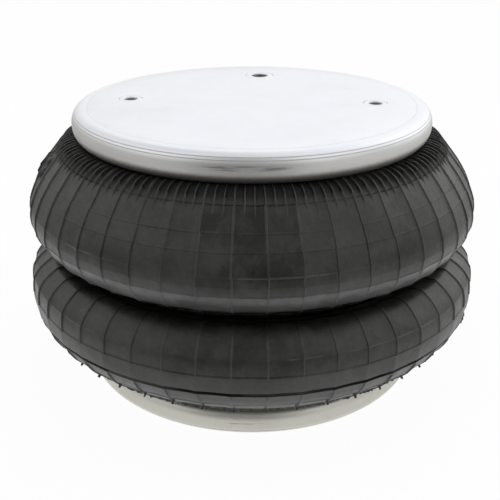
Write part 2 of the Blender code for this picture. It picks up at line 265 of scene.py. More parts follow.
def floor_material():
    """White sheet that keeps a faint shadow. It is dull in front and far out, where no lamp reaches."""
    material = bpy.data.materials.new("white_sheet")
    material.use_nodes = True
    tree = material.node_tree
    tree.nodes.clear()
    path = add_node(tree, "ShaderNodeLightPath")
    camera_ray = Field(tree, path.outputs["Is Camera Ray"])
    place = add_node(tree, "ShaderNodeTexCoord").outputs["Object"]
    level, across, ahead, _ = level_ring(tree, place)
    gap = ahead.from_range(0.80, 0.97) * level.from_range(0.22, 0.33)
    far = level.from_range(0.25, 0.60)
    lit = (gap * (FLOOR_AHEAD - 1.0) + 1.0) * (far * (across * 0.10 - 0.45) + 1.0)
    lit = lit.math("MAXIMUM", camera_ray)
    white = mix_colours(tree, lit, grey(0.0), grey(FLOOR_WHITE))
    sheet = add_node(tree, "ShaderNodeBsdfDiffuse", {"Color": white})
    glow = add_node(tree, "ShaderNodeEmission", {"Color": WHITE, "Strength": lit})
    mirrored = Field(tree, path.outputs["Is Glossy Ray"]).math("MAXIMUM", path.outputs["Is Transmission Ray"])
    seen = (mirrored * FLOOR_SHINE).math("MAXIMUM", camera_ray * FLOOR_GLOW)
    mixed = add_node(tree, "ShaderNodeMixShader", {0: seen, 1: sheet.outputs[0], 2: glow.outputs[0]})
    out = tree.nodes.new("ShaderNodeOutputMaterial")
    tree.links.new(mixed.outputs[0], out.inputs[0])
    return material


floor_mesh = bpy.data.meshes.new("floor")
floor_corners = [(x * FLOOR_REACH, y * FLOOR_REACH, 0.0) for x, y in ((-1, -1), (1, -1), (1, 1), (-1, 1))]
floor_mesh.from_pydata(floor_corners, [], [(0, 1, 2, 3)])
floor_mesh.materials.append(floor_material())
floor = bpy.data.objects.new("floor", floor_mesh)
bpy.context.scene.collection.objects.link(floor)
print("floor", 2 * FLOOR_REACH, "m wide")

# %% [markdown]
# Soft boxes add a little light from both sides and from above. A sun lamp would be simpler, but
# its shadows are hard. The boxes are kept out of reflections, since a lamp that is mirrored in
# pale steel burns out to white when the plate is seen from its side.

# %% Soft boxes
LAMP_AIM = Vector((0.0, 0.0, 0.09))


def soft_box(name, place, size, power):
    """A square area lamp that faces the middle of the bellows."""
    data = bpy.data.lights.new(name, "AREA")
    data.shape = "SQUARE"
    data.size = size
    data.energy = power
    lamp = bpy.data.objects.new(name, data)
    lamp.location = place
    lamp.rotation_euler = (Vector(place) - LAMP_AIM).to_track_quat("Z", "Y").to_euler()
    lamp.visible_glossy = False
    bpy.context.scene.collection.objects.link(lamp)
    print(name, power, "W")


soft_box("soft_box_left", (-1.05, 0.10, 0.62), 0.9, 2.3)
soft_box("soft_box_right", (1.05, 0.10, 0.62), 0.9, 3.1)
soft_box("soft_box_top", (0.0, 0.50, 1.30), 1.1, 0.9)

# %% [markdown]
# ## Finishes
#
# Moulded rubber is never one flat black. Wax and dust leave pale blooms a few centimetres wide,
# the mould leaves a fine mottle, and the thin raised lines are rubbed a little lighter. The
# effects are node groups, because rubber and steel both use them at their own scales.

# %% A node group for cloudy patches, and one for fine scuffs
def new_group(name, numbers):
    """An empty shader group with number inputs and their defaults, and its group nodes."""
    group = bpy.data.node_groups.new(name, "ShaderNodeTree")
    for label, value in numbers:
        made = group.interface.new_socket(label, in_out="INPUT", socket_type="NodeSocketFloat")
        made.default_value = value
    entry = group.nodes.new("NodeGroupInput")
    leave = group.nodes.new("NodeGroupOutput")
    return group, entry, leave


def put_out(group, leave, label, value):
    """A number that a group gives."""
    group.interface.new_socket(label, in_out="OUTPUT", socket_type="NodeSocketFloat")
    feed(group, value, leave.inputs[label])


def cloud_group():
    """Soft patches between 0 and 1, from two sizes of noise on Object coordinates."""
    group, entry, leave = new_group("cloudy_patches", [("Size", 0.03), ("Low", 0.45), ("High", 0.65)])
    place = add_node(group, "ShaderNodeTexCoord").outputs["Object"]
    scale = Field(group, entry.outputs["Size"]).math("POWER", -1.0)
    wide = add_node(group, "ShaderNodeTexNoise", {"Vector": place, "Scale": scale, "Detail": 3.0})
    fine = add_node(group, "ShaderNodeTexNoise", {"Vector": place, "Scale": scale * 5.0, "Detail": 4.0})
    both = Field(group, wide.outputs["Fac"]) * 0.7 + Field(group, fine.outputs["Fac"]) * 0.3
    put_out(group, leave, "Patches", both.from_range(entry.outputs["Low"], entry.outputs["High"]))
    return group


def scuff_group():
    """Thin straight scratches in two directions, broken into short lengths."""
    group, entry, leave = new_group("fine_scuffs", [("Size", 0.02), ("Width", 0.02)])
    place = add_node(group, "ShaderNodeTexCoord").outputs["Object"]
    scale = Field(group, entry.outputs["Size"]).math("POWER", -1.0)
    marks = None
    for turn in (0.4, 1.9, 2.7):
        turned = add_node(group, "ShaderNodeMapping", {"Vector": place, "Rotation": (0.0, 0.0, turn)})
        long_way = add_node(
            group, "ShaderNodeMapping", {"Vector": turned.outputs[0], "Scale": (0.12, 1.0, 1.0)}
        )
        lines = add_node(
            group, "ShaderNodeTexNoise",
            {"Vector": long_way.outputs[0], "Scale": scale * 6.0, "Detail": 1.0, "Distortion": 0.3},
        )
        near = (Field(group, lines.outputs["Fac"]) - 0.5).math("ABSOLUTE")
        thin = near.from_range(0.0, entry.outputs["Width"], 1.0, 0.0)
        gate = add_node(group, "ShaderNodeTexNoise", {"Vector": turned.outputs[0], "Scale": scale})
        kept = thin * Field(group, gate.outputs["Fac"]).from_range(0.52, 0.62)
        marks = kept if marks is None else marks.math("MAXIMUM", kept)
    put_out(group, leave, "Scuffs", marks)
    return group


CLOUDS = cloud_group()
SCUFFS = scuff_group()
print("groups", CLOUDS.name, SCUFFS.name)


# %% Helpers that place a group, start a material and bump it
def place_group(tree, group, output, **numbers):
    """A group node with its own values, and the field that it gives."""
    made = tree.nodes.new("ShaderNodeGroup")
    made.node_tree = group
    for label, value in numbers.items():
        feed(tree, value, made.inputs[label])
    return Field(tree, made.outputs[output])


def principled(name, metallic, roughness):
    """A material with one Principled shader, and its tree and shader."""
    material = bpy.data.materials.new(name)
    material.use_nodes = True
    shader = material.node_tree.nodes["Principled BSDF"]
    shader.inputs["Metallic"].default_value = metallic
    shader.inputs["Roughness"].default_value = roughness
    return material, material.node_tree, shader


def bumped(tree, shader, height, distance):
    """Feed a height in shares of a real distance to the shader's normal."""
    bump = add_node(tree, "ShaderNodeBump", {"Height": height, "Distance": distance, "Strength": 1.0})
    tree.links.new(bump.outputs["Normal"], shader.inputs["Normal"])


probe = principled("probe", 0.0, 0.5)[0]
print("a new material starts with", [node.name for node in probe.node_tree.nodes])
bpy.data.materials.remove(probe)

# %% [markdown]
# ### Rubber
#
# The bellows is charcoal rubber straight from its mould. A picture could be wrapped round it,
# but it would blur when seen close, so the tone is built from clouds of three sizes. The wall's
# mesh says where the raised lines and the torn flash are, where shade is painted into the rib
# valleys and round the nubs, and where a paler grey paints a sheen of light from the floor on some
# bands. Its Geometry Nodes tree stores these in attributes, and the material only has to read them.

# %% Moulded rubber
# a paler grey that paints a sheen of light from the floor on some bands
SHEEN_GREY = grey(0.175)
# near black, for torn flash and for shade painted into the rib valleys and round the nubs
TEAR_AND_SHADE_GREY = grey(0.003)
RUBBER_BUMP = 0.00025


def rubber_material(name, dark, pale, crest_lift):
    """Charcoal rubber with pale blooms, fine mottle, rubbed raised lines, torn flash, painted shade in
    hollows and a painted sheen on some bands.
    """
    material, tree, shader = principled(name, 0.0, 0.45)
    bloom = place_group(tree, CLOUDS, "Patches", Size=0.034, Low=0.44, High=0.68)
    blotch = place_group(tree, CLOUDS, "Patches", Size=0.011, Low=0.42, High=0.62)
    mottle = place_group(tree, CLOUDS, "Patches", Size=0.0030, Low=0.35, High=0.75)
    # this attribute is partly torn flash and partly painted shade in the rib valleys, round the nubs and
    # under the flash
    tear_and_shade = attribute(tree, "tear_and_painted_shade")
    share = bloom * 0.52 + blotch * 0.34 + mottle * 0.20 + attribute(tree, "crest") * crest_lift
    tone = mix_colours(tree, share, dark, pale)
    # painted sheen: a paler grey on some bands stands for the light that they catch from the floor
    tone = mix_colours(tree, attribute(tree, "painted_sheen") * (bloom * 0.5 + 0.5), tone, SHEEN_GREY)
    feed(tree, mix_colours(tree, tear_and_shade, tone, TEAR_AND_SHADE_GREY), shader.inputs["Base Color"])
    dull = bloom * 0.08 + blotch * 0.06 + mottle * -0.06 + tear_and_shade * 0.4 + 0.34
    feed(tree, dull, shader.inputs["Roughness"])
    place = add_node(tree, "ShaderNodeTexCoord").outputs["Object"]
    grain = add_node(tree, "ShaderNodeTexNoise", {"Vector": place, "Scale": 1400.0, "Detail": 3.0})
    soft = add_node(tree, "ShaderNodeTexNoise", {"Vector": place, "Scale": 130.0, "Detail": 2.0})
    height = Field(tree, grain.outputs["Fac"]) * 0.25 + Field(tree, soft.outputs["Fac"])
    bumped(tree, shader, height, RUBBER_BUMP)
    return material


RUBBER = rubber_material("charcoal_rubber", (0.0125, 0.0130, 0.0095, 1.0), (0.046, 0.046, 0.045, 1.0), 0.10)
BUMPER_RUBBER = rubber_material("black_rubber", grey(0.020), grey(0.040), 0.0)
print("rubbers", RUBBER.name, BUMPER_RUBBER.name)

# %% [markdown]
# ### Zinc plate
#
# The plates are pressed from sheet that is zinc plated: pale and soft in its shine, and scraped
# where the rim was gripped. The top plate's rim is warmer and darker towards its bottom, and its
# rolled lines are darkened. The nuts' bores get the same dark as painted shade, and the bottom
# plate's lower edge a paler grey as a painted highlight. The scrape is a patch of short level
# dashes, from noise that a Mapping node stretches along the rim.

# %% Zinc plated steel
ZINC_BUMP = 0.00002
DASHES = (70.0, 70.0, 900.0)
STREAKS = (6.0, 6.0, 500.0)


def stretched_noise(tree, place, scale, detail):
    """Noise that is drawn out along the directions whose scale is small."""
    flat = add_node(tree, "ShaderNodeMapping", {"Vector": place, "Scale": scale})
    noise = add_node(tree, "ShaderNodeTexNoise", {"Vector": flat.outputs[0], "Scale": 1.0, "Detail": detail})
    return Field(tree, noise.outputs["Fac"])


def zinc_material(name, dark, pale, rim, stain_and_shade_colour, rim_heights, low_darkening_heights, scrape):
    """Clear zinc plate: pale, softly clouded, scuffed, with its own tone low on the rim, darkened in its
    grooves.

    The heights are where the rim's tone and the darkening towards the rim's bottom begin and are
    full. The rim's tone is a warmer tint on the top plate and a painted highlight on the bottom
    plate. The stain and shade colour darkens scrapes, dings and grooves, and in the nuts' bores it is
    painted shade. The scrape is an ellipse on the front of the rim: its middle's X and Z, and half
    its length and height.
    """
    material, tree, shader = principled(name, 0.85, 0.40)
    cloud = place_group(tree, CLOUDS, "Patches", Size=0.06, Low=0.35, High=0.75)
    smear = place_group(tree, CLOUDS, "Patches", Size=0.008, Low=0.55, High=0.80)
    scuffs = place_group(tree, SCUFFS, "Scuffs", Size=0.022, Width=0.006)
    share = (cloud * 0.25 + smear * 0.25 + scuffs * 0.35).math("MINIMUM", 1.0)
    clean = mix_colours(tree, share, pale, dark)

    place = add_node(tree, "ShaderNodeTexCoord").outputs["Object"]
    parts = add_node(tree, "ShaderNodeSeparateXYZ", {"Vector": place})
    height = Field(tree, parts.outputs["Z"])
    middle_x, middle_z, half_length, half_height = scrape
    across = (Field(tree, parts.outputs["X"]) - middle_x) / half_length
    rise = (height - middle_z) / half_height
    front = Field(tree, parts.outputs["Y"]).math("LESS_THAN", 0.0)
    patch = (across * across + rise * rise).from_range(0.3, 1.1, 1.0, 0.0) * front
    scraped = patch * stretched_noise(tree, place, DASHES, 3.0).from_range(0.40, 0.62)
    # darker towards the bottom of the rim
    low_rim_mottle = place_group(tree, CLOUDS, "Patches", Size=0.0030, Low=0.42, High=0.60)
    low_rim_darkening = height.from_range(*low_darkening_heights, 1.0, 0.0) * (low_rim_mottle * 0.1 + 0.72)
    dings = place_group(tree, CLOUDS, "Patches", Size=0.0032, Low=0.63, High=0.68)
    dings = dings * cloud.from_range(0.45, 0.80)
    # Scrapes and dings are real marks. The grooves are darkened too: the rolled lines, and the nuts' bores,
    # where the dark is painted shade.
    stain_and_shade = scraped * 0.80 + attribute(tree, "groove") * 0.75 + dings * 0.22 + low_rim_darkening
    stain_and_shade = stain_and_shade.math("MINIMUM", 1.0)
    streak = stretched_noise(tree, place, STREAKS, 4.0).from_range(0.35, 0.70)
    under = height.from_range(*rim_heights, 1.0, 0.0) * (streak * 0.4 + 0.6)
    clean = mix_colours(tree, under, clean, rim)
    feed(tree, mix_colours(tree, stain_and_shade, clean, stain_and_shade_colour), shader.inputs["Base Color"])
    dull = cloud * 0.05 + smear * 0.06 + scuffs * 0.10 + stain_and_shade * 0.15 + 0.38
    feed(tree, dull, shader.inputs["Roughness"])
    bumped(tree, shader, scuffs * -1.0 + smear * 0.3 + stain_and_shade * -0.5 + dings * -3.0, ZINC_BUMP)
    return material


ZINC = zinc_material(
    "clear_zinc", dark=(0.77, 0.79, 0.82, 1.0), pale=(0.90, 0.92, 0.96, 1.0),
    rim=(0.73, 0.715, 0.665, 1.0), stain_and_shade_colour=(0.28, 0.26, 0.23, 1.0),
    rim_heights=(0.1715, 0.1762), low_darkening_heights=(0.1600, 0.1705),
    scrape=(0.004, 0.1700, 0.028, 0.0016),
)
# On the bottom plate the rim's tone is a pale grey along its lowest edge: a painted highlight.
AGED_ZINC = zinc_material(
    "aged_zinc", dark=(0.48, 0.46, 0.40, 1.0), pale=(0.64, 0.63, 0.57, 1.0),
    rim=(0.90, 0.90, 0.88, 1.0), stain_and_shade_colour=(0.36, 0.25, 0.16, 1.0),
    rim_heights=(0.0020, 0.0070), low_darkening_heights=(-0.002, -0.001),
    scrape=(0.004, 0.0098, 0.018, 0.0007),
)
print("zincs", ZINC.name, AGED_ZINC.name)

# %% [markdown]
# ### Plain steel
#
# The hoop, the cores and the bumper's fastening are drawn steel without plating. Nearly nothing
# of them shows, so a streaky grey is enough. The hoop's grey is nearly black: painted shade, since
# it sits deep in the gap between the lobes.

# %% Plain drawn steel
def wire_material(name, dark, pale):
    """Drawn steel with a matt, slightly streaked face."""
    material, tree, shader = principled(name, 1.0, 0.42)
    streak = place_group(tree, CLOUDS, "Patches", Size=0.006, Low=0.35, High=0.70)
    feed(tree, mix_colours(tree, streak, grey(dark), grey(pale)), shader.inputs["Base Color"])
    feed(tree, streak * 0.15 + 0.36, shader.inputs["Roughness"])
    return material


WIRE = wire_material("drawn_steel", 0.34, 0.48)
# near black: painted shade for the hoop deep in the gap between the lobes
SHADED_WIRE = wire_material("rubber_smeared_steel", 0.03, 0.09)
print("wires", WIRE.name, SHADED_WIRE.name)

# %% [markdown]
# ## The bellows wall
#
# The wall is a body of revolution with a pattern moulded into it. A drawing for its mould would
# give one outline, the heights of the ring lines on it, and a rule for the ribs: 144 fine ribs
# near the plate, and every third of them runs on over both lobes as a thin fin. So the outline
# is a small polyline whose points carry the height of each line, and one Geometry Nodes tree
# turns it about the axis and raises the ribs.

# %% Sizes of the bellows, in metres, from the bottom face up
INCH = 0.0254


def ring_size(node):
    """A round CAD node's outer radius and its lowest and highest points, to a tenth of a millimetre."""
    low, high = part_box(node)
    return round(high.x, 4), round(low.z, 4), round(high.z, 4)


PLATE_RADIUS, _, FREE_HEIGHT = ring_size("top_bead_plate")
hoop_outside, hoop_low, hoop_high = ring_size("girdle_hoop")
WAIST_HEIGHT = round((hoop_low + hoop_high) / 2, 4)
HOOP_WIRE = round((hoop_high - hoop_low) / 2, 4)
HOOP_RADIUS = round(hoop_outside - HOOP_WIRE, 4)
HOOP_SEAT = 0.0043
WALL = 0.0060
NECK_RADIUS = 0.1024
# points of the outline, as radius and height
UPPER_CROWN = (0.1448, 0.1158)
LOWER_CROWN = (0.1480, 0.0618)
UPPER_TOP = (0.1185, 0.1595)
UPPER_FOOT = (0.1245, 0.0899)
LOWER_TOP = (0.1335, 0.0868)
LOWER_FOOT = (0.1060, 0.0183)
UPPER_ROOT = (NECK_RADIUS - WALL, UPPER_TOP[1])
UPPER_WAIST_ROOT = (HOOP_RADIUS, WAIST_HEIGHT + HOOP_SEAT)
LOWER_WAIST_ROOT = (HOOP_RADIUS, WAIST_HEIGHT - HOOP_SEAT)
LOWER_ROOT = (NECK_RADIUS - WALL, LOWER_FOOT[1])
RIBS = 144
RIBS_PER_FIN = 3
RIB_HALF_WIDTH = 0.0006
RIB_HEIGHT = 0.0016
FIN_HALF_WIDTH = 0.0005
FIN_HEIGHT = 0.0007
print("plate", PLATE_RADIUS, "free height", FREE_HEIGHT)
print("hoop", HOOP_RADIUS, "wire", HOOP_WIRE, "waist at", WAIST_HEIGHT)

# %% [markdown]
# ### The outline
#
# A moulded wall bulges from crown to end, and each panel between two ring lines is a little
# flatter than the bulge. A curve object could draw that by its handles. Here the bulge is one
# power curve, each panel is pulled towards its chord, and the corner at the end gets a fillet.
# The points stand at equal distances, so that a fillet or a line can be counted in steps.

# %% Helpers for lines: equal steps, a fillet, and the point at a height
def evenly(points, spacing):
    """The same line with points at equal distances."""
    lengths = [0.0]
    for before, after in zip(points, points[1:]):
        lengths.append(lengths[-1] + math.dist(before, after))
    count = max(2, round(lengths[-1] / spacing))
    result = []
    place = 0
    for index in range(count + 1):
        target = lengths[-1] * index / count
        while place < len(points) - 2 and lengths[place + 1] < target:
            place += 1
        share = (target - lengths[place]) / (lengths[place + 1] - lengths[place])
        result.append(tuple(a + (b - a) * share for a, b in zip(points[place], points[place + 1])))
    return result


def filleted(points, corner, reach):
    """Replace a corner by a curve that begins and ends a few points away from it."""
    first, middle, last = points[corner - reach], points[corner], points[corner + reach]
    curve = []
    for index in range(2 * reach + 1):
        share = index / (2 * reach)
        weights = ((1 - share) ** 2, 2 * share * (1 - share), share ** 2)
        pulls = list(zip(weights, (first, middle, last)))
        curve.append(tuple(sum(weight * point[axis] for weight, point in pulls) for axis in (0, 1)))
    return points[:corner - reach] + curve + points[corner + reach + 1:]


def nearest(points, height, last):
    """The index, before the last one given, of the point nearest a height."""
    return min(range(last), key=lambda index: abs(points[index][1] - height))


print("a line of 3 mm in steps of 1 mm:", evenly([(0.0, 0.0), (0.003, 0.0)], 0.001))


# %% The wall's outer line
STEP = 0.00025
SAMPLES = 160
# how far a panel is pulled from the bulge to its chord, as a share
FLATNESS = 0.22


def wall_line(crown, end, fullness, root, fillet, folds=(), inward=()):
    """The wall's outer line from its crown to its end, flattened from fold to fold, then in to its root."""
    points = []
    for index in range(SAMPLES + 1):
        share = index / SAMPLES
        radius = crown[0] - (crown[0] - end[0]) * share ** fullness
        points.append((radius, crown[1] + (end[1] - crown[1]) * share))
    line = evenly(points + [*inward, root], STEP)
    corner = min(range(len(line)), key=lambda index: math.dist(line[index], end))
    reach = round(fillet / STEP)
    knots = [0] + [nearest(line, height, corner) for height in folds] + [corner - reach]
    for first, last in zip(knots, knots[1:]):
        for index in range(first + 1, last):
            share = (index - first) / (last - first)
            flat = tuple(a + (b - a) * share for a, b in zip(line[first], line[last]))
            line[index] = tuple(a + (b - a) * FLATNESS for a, b in zip(line[index], flat))
    return filleted(line, corner, reach)


trial_line = wall_line(UPPER_CROWN, UPPER_TOP, fullness=1.65, root=UPPER_ROOT, fillet=0.009)
print("the upper shoulder's line has", len(trial_line), "points")

# %% [markdown]
# ### The rows
#
# Only some points of the outline become rows of the mesh: five or six for each ring line, so
# that it keeps crisp edges, and one now and then between them. Evenly dense rows would need many
# times the triangles. Each row carries what is moulded there, from the height of a rib, and its
# share of painted sheen.

# %% Which points of the line become rows
# steps of the line from one plain row to the next, and the least number beside a marked one
ROW_STEP = 9
ROW_GAP = 3


def outward(points, index, side):
    """The unit normal of a line at one of its points."""
    before = points[max(index - 1, 0)]
    after = points[min(index + 1, len(points) - 1)]
    run = (after[0] - before[0], after[1] - before[1])
    size = math.hypot(*run)
    return (side * run[1] / size, -side * run[0] / size)


def marked_points(dense, rings, outer_end):
    """The indexes of a line that become rows, each with the height of its ring line or 0."""
    marks = {0: 0.0}
    for height, rise, half, crest in rings:
        middle = nearest(dense, height, outer_end)
        for shift in (-half - 1, -half, half, half + 1):
            marks[max(0, middle + shift)] = 0.0
        for shift in (-crest, crest):
            marks[max(0, middle + shift)] = rise
    for index in range(0, outer_end, ROW_STEP):
        if all(abs(index - other) > ROW_GAP for other in marks):
            marks[index] = 0.0
    for index in range(outer_end, len(dense) - 1, ROW_STEP * 2):
        marks[index] = 0.0
    marks[len(dense) - 1] = 0.0
    return marks


one_line = [(0.1332, 0.00036, 2, 0)]
trial_marks = marked_points(trial_line, one_line, len(trial_line) - 1)
print("with one ring line,", len(trial_marks), "points become rows")


# %% The inner side of the wall
# it stops this far from the end, and its points keep this far from the root
INNER_STOP = 0.001
ROOT_GAP = 0.0003


def inner_points(dense, end, root, side):
    """The inner side of the wall, from its root back to the crown."""
    back = []
    for index in range(0, len(dense), ROW_STEP * 2):
        if index > 0 and side * (end[1] - dense[index][1]) < INNER_STOP:
            break
        normal = (1.0, 0.0) if index == 0 else outward(dense, index, side)
        radius, height = dense[index]
        back.append((radius - normal[0] * WALL, height - normal[1] * WALL))
    foot = root[1] - side * WALL
    kept = [point for point in back if side * (foot - point[1]) > ROOT_GAP and point[0] > root[0]]
    return [(root[0], foot)] + kept[::-1]


print("its inner side has", len(inner_points(trial_line, UPPER_TOP, UPPER_ROOT, 1.0)), "points")


# %% All rows of a wall, with what is moulded at each
BAND_RISE = 0.0004
NUB_HEIGHT = 0.0015
PANEL_SINK = 0.00038
LOW_FIN_SHARE = 0.85
FLASH_HALF = 0.0006
# the pattern fades out over this length before the wall's end
FADE = 0.004
# below 1, a rib rises fast at its start
RIB_START = 0.7


def rib_rise(height, start, full):
    """Height of a short rib: nothing before its start, all of it past the full height."""
    share = (height - start) / (full - start)
    share = max(0.0, min(1.0, share))
    return RIB_HEIGHT * share ** RIB_START


def wall_rows(
    crown, end, fullness, root, fillet, fade_out, rings,
    ribs=None, flash=None, band=None, nubs=None, low_fins=None, inward=(), sheen_heights=(), pad=None,
):
    """Rows from the crown out along the outer side, back along the inner side.

    Ribs are given by the heights where they begin and are full, a flash by its height and rise,
    band and nubs by two heights, painted sheen by heights and shares, and a pad, which is a lump of
    flash, by two heights and its rise.
    """
    side = 1.0 if end[1] > crown[1] else -1.0
    folds = sorted((ring[0] for ring in rings), key=lambda height: side * height)
    dense = wall_line(crown, end, fullness, root, fillet, folds, inward)
    outer_end = max(index for index, point in enumerate(dense) if point[0] >= fade_out)
    marks = marked_points(dense, rings, outer_end)
    rows = []
    for index in sorted(marks):
        radius, height = dense[index]
        normal = (1.0, 0.0) if index == 0 else outward(dense, index, side)
        fade = max(0.0, min(1.0, (radius - fade_out) / FADE))
        row = {"at": (radius, height), "out": normal, "ring": marks[index], "fin": FIN_HEIGHT * fade}
        row["rib"] = rib_rise(height, *ribs) * fade if ribs else 0.0
        row["sink"] = PANEL_SINK * fade
        row["tier"] = float(sum(side * (height - ring[0]) > 0 for ring in rings))
        if band and min(band) < height < max(band):
            row["at"] = (radius + normal[0] * BAND_RISE, height + normal[1] * BAND_RISE)
            row["fin"] = 0.0
        if nubs and min(nubs) < height < max(nubs):
            row["nub"] = NUB_HEIGHT
        if low_fins and height < low_fins:
            row["fin"] *= LOW_FIN_SHARE
        if flash and abs(height - flash[0]) < FLASH_HALF and marks[index]:
            row["flash"] = flash[1]
        if pad and pad[0] < height < pad[1]:
            row["pad"] = pad[2]
        # the sheen heights give each row its share of painted sheen
        for (top, first), (foot, last) in zip(sheen_heights, sheen_heights[1:]):
            if foot <= height <= top:
                row["painted_sheen"] = last + (first - last) * (height - foot) / (top - foot)
        rows.append(row)
    return rows + [{"at": point, "out": (-1.0, 0.0)} for point in inner_points(dense, end, root, side)]


trial_rows = wall_rows(
    UPPER_CROWN, UPPER_TOP, fullness=1.65, root=UPPER_ROOT, fillet=0.009, fade_out=0.1085, rings=one_line
)
print("both sides of the shoulder have", len(trial_rows), "rows with", sorted(trial_rows[0]))


# %% An object that holds the rows
# the values that shape the wall, in the order in which its tree reads them
ROW_VALUES = ("rib", "fin", "ring", "sink", "flash", "tier", "nub", "pad")


def outline_object(name, rows, closed=True):
    """A polyline whose points carry the pattern's values as attributes."""
    mesh = bpy.data.meshes.new(name)
    count = len(rows)
    edges = [(i, (i + 1) % count) for i in range(count if closed else count - 1)]
    mesh.from_pydata([(row["at"][0], 0.0, row["at"][1]) for row in rows], edges, [])
    for label in ROW_VALUES + ("thread", "painted_sheen"):
        layer = mesh.attributes.new(label, "FLOAT", "POINT")
        layer.data.foreach_set("value", [row.get(label, 0.0) for row in rows])
    layer = mesh.attributes.new("out", "FLOAT_VECTOR", "POINT")
    flat = []
    for row in rows:
        across, along = row.get("out", (1.0, 0.0))
        flat += [across, 0.0, along]
    layer.data.foreach_set("vector", flat)
    made = bpy.data.objects.new(name, mesh)
    bpy.context.scene.collection.objects.link(made)
    return made


print("each row carries", ROW_VALUES)

# %% [markdown]
# ### Trees that turn an outline
#
# A Screw modifier would turn the outline, but it can't raise anything on it. So a tree makes a
# plain grid with one column for each edge of each rib, and one row for each point of the outline.
# Set Position then wraps it round the axis. Its index tells each vertex its row and column, and
# Sample Index reads that row's values from the outline.

# %% Start a tree, and read the outline's rows in it
def group_input(tree, label, kind, value=None):
    """A named input of a Geometry Nodes tree."""
    made = tree.interface.new_socket(label, in_out="INPUT", socket_type=kind)
    if value is not None:
        made.default_value = value


def start_tree(name, inputs):
    """A Geometry Nodes tree with an outline as its first input, and its entry and exit."""
    tree = bpy.data.node_groups.new(name, "GeometryNodeTree")
    group_input(tree, "Outline", "NodeSocketGeometry")
    for label, kind, value in inputs:
        group_input(tree, label, kind, value)
    group_input(tree, "Finish", "NodeSocketMaterial")
    tree.interface.new_socket("Geometry", in_out="OUTPUT", socket_type="NodeSocketGeometry")
    return tree, tree.nodes.new("NodeGroupInput"), tree.nodes.new("NodeGroupOutput")


def sampled(tree, outline, row, value, kind):
    """A value of the outline's points, read at one row."""
    sample = add_node(
        tree, "GeometryNodeSampleIndex", {"Geometry": outline, "Index": row}, data_type=kind, domain="POINT"
    )
    feed(tree, value, sample.inputs["Value"])
    return sample.outputs[0]


def named(tree, label, kind="FLOAT"):
    """An attribute of the outline."""
    read = add_node(tree, "GeometryNodeInputNamedAttribute", {"Name": label}, data_type=kind)
    return read.outputs[0]


def row_number(tree, outline, label, row):
    """One of the outline's numbers at a row, as a field."""
    return Field(tree, sampled(tree, outline, row, named(tree, label), "FLOAT"))


def row_pair(tree, outline, row, vector):
    """One of the outline's vectors at a row, as its shares across and up."""
    parts = add_node(
        tree, "ShaderNodeSeparateXYZ", {"Vector": sampled(tree, outline, row, vector, "FLOAT_VECTOR")}
    )
    return Field(tree, parts.outputs["X"]), Field(tree, parts.outputs["Z"])


def row_point(tree, outline, row):
    """The outline's point at a row, as radius and height."""
    return row_pair(tree, outline, row, tree.nodes.new("GeometryNodeInputPosition").outputs[0])


probe_tree = start_tree("probe", [])[0]
print("a new tree starts with", [item.name for item in probe_tree.interface.items_tree])
bpy.data.node_groups.remove(probe_tree)


# %% Make the grid, place its points and finish it
WELD = 0.0000005


def wrapped_grid(tree, outline, columns):
    """A grid of columns by the outline's points, closed both ways, and its row and column."""
    size = add_node(tree, "GeometryNodeAttributeDomainSize", {"Geometry": outline}, component="MESH")
    rows = Field(tree, size.outputs["Point Count"])
    edges = Field(tree, size.outputs["Edge Count"])
    lines = edges + 1.0
    grid = add_node(
        tree, "GeometryNodeMeshGrid", {"Vertices X": columns + 1.0, "Vertices Y": lines}
    )
    index = Field(tree, tree.nodes.new("GeometryNodeInputIndex").outputs[0])
    row = (index % lines) % rows
    column = ((index + 0.5) / lines).math("FLOOR") % columns
    return grid.outputs["Mesh"], row, column


def point_at(tree, radius, angle, height):
    """A point at a radius, an angle from the front and a height."""
    place = add_node(tree, "ShaderNodeCombineXYZ")
    feed(tree, radius * angle.math("SINE"), place.inputs["X"])
    feed(tree, radius * angle.math("COSINE") * -1.0, place.inputs["Y"])
    feed(tree, height, place.inputs["Z"])
    return place.outputs[0]


def stored(tree, mesh, label, value):
    """The mesh with a number on each of its points, which its material reads."""
    kept = add_node(
        tree, "GeometryNodeStoreNamedAttribute", {"Geometry": mesh, "Name": label},
        data_type="FLOAT", domain="POINT",
    )
    feed(tree, value, kept.inputs["Value"])
    return kept.outputs[0]


def close_and_finish(tree, leave, mesh, place, finish):
    """Put the grid's points in place, weld its seams, shade it and give it its finish."""
    moved = add_node(tree, "GeometryNodeSetPosition", {"Geometry": mesh, "Position": place})
    welded = add_node(
        tree, "GeometryNodeMergeByDistance", {"Geometry": moved.outputs[0], "Distance": WELD}
    )
    smooth = add_node(tree, "GeometryNodeSetShadeSmooth", {"Geometry": welded.outputs[0]})
    real = add_node(tree, "GeometryNodeRealizeInstances", {"Geometry": smooth.outputs[0]})
    painted = add_node(tree, "GeometryNodeSetMaterial", {"Geometry": real.outputs[0], "Material": finish})
    tree.links.new(painted.outputs[0], leave.inputs[0])


print("points closer than", WELD, "m are welded")

# %% [markdown]
# ### Ribs, fins and ring lines
#
# Six columns of the grid make a rib: two on its crest, two at its foot and two just beside it,
# which keep the panel flat. The other columns lie on the panel up to the next rib. Every third
# rib is a fin, which runs on where the short ribs end. The fins of a real mould are never quite
# in line, so a Random Value node with a fixed seed shifts each one a little at every ring line.

# %% Where the columns of a rib stand
RIB_COLUMNS = 6.0
# share of a rib's half width at which its crest's edge stands
CREST_SHARE = 0.40
# a rib begins this thin, and is at full width from this share of its height
THIN_START = 0.12
WIDE_FROM = 0.6
NUB_WIDENING = 0.9


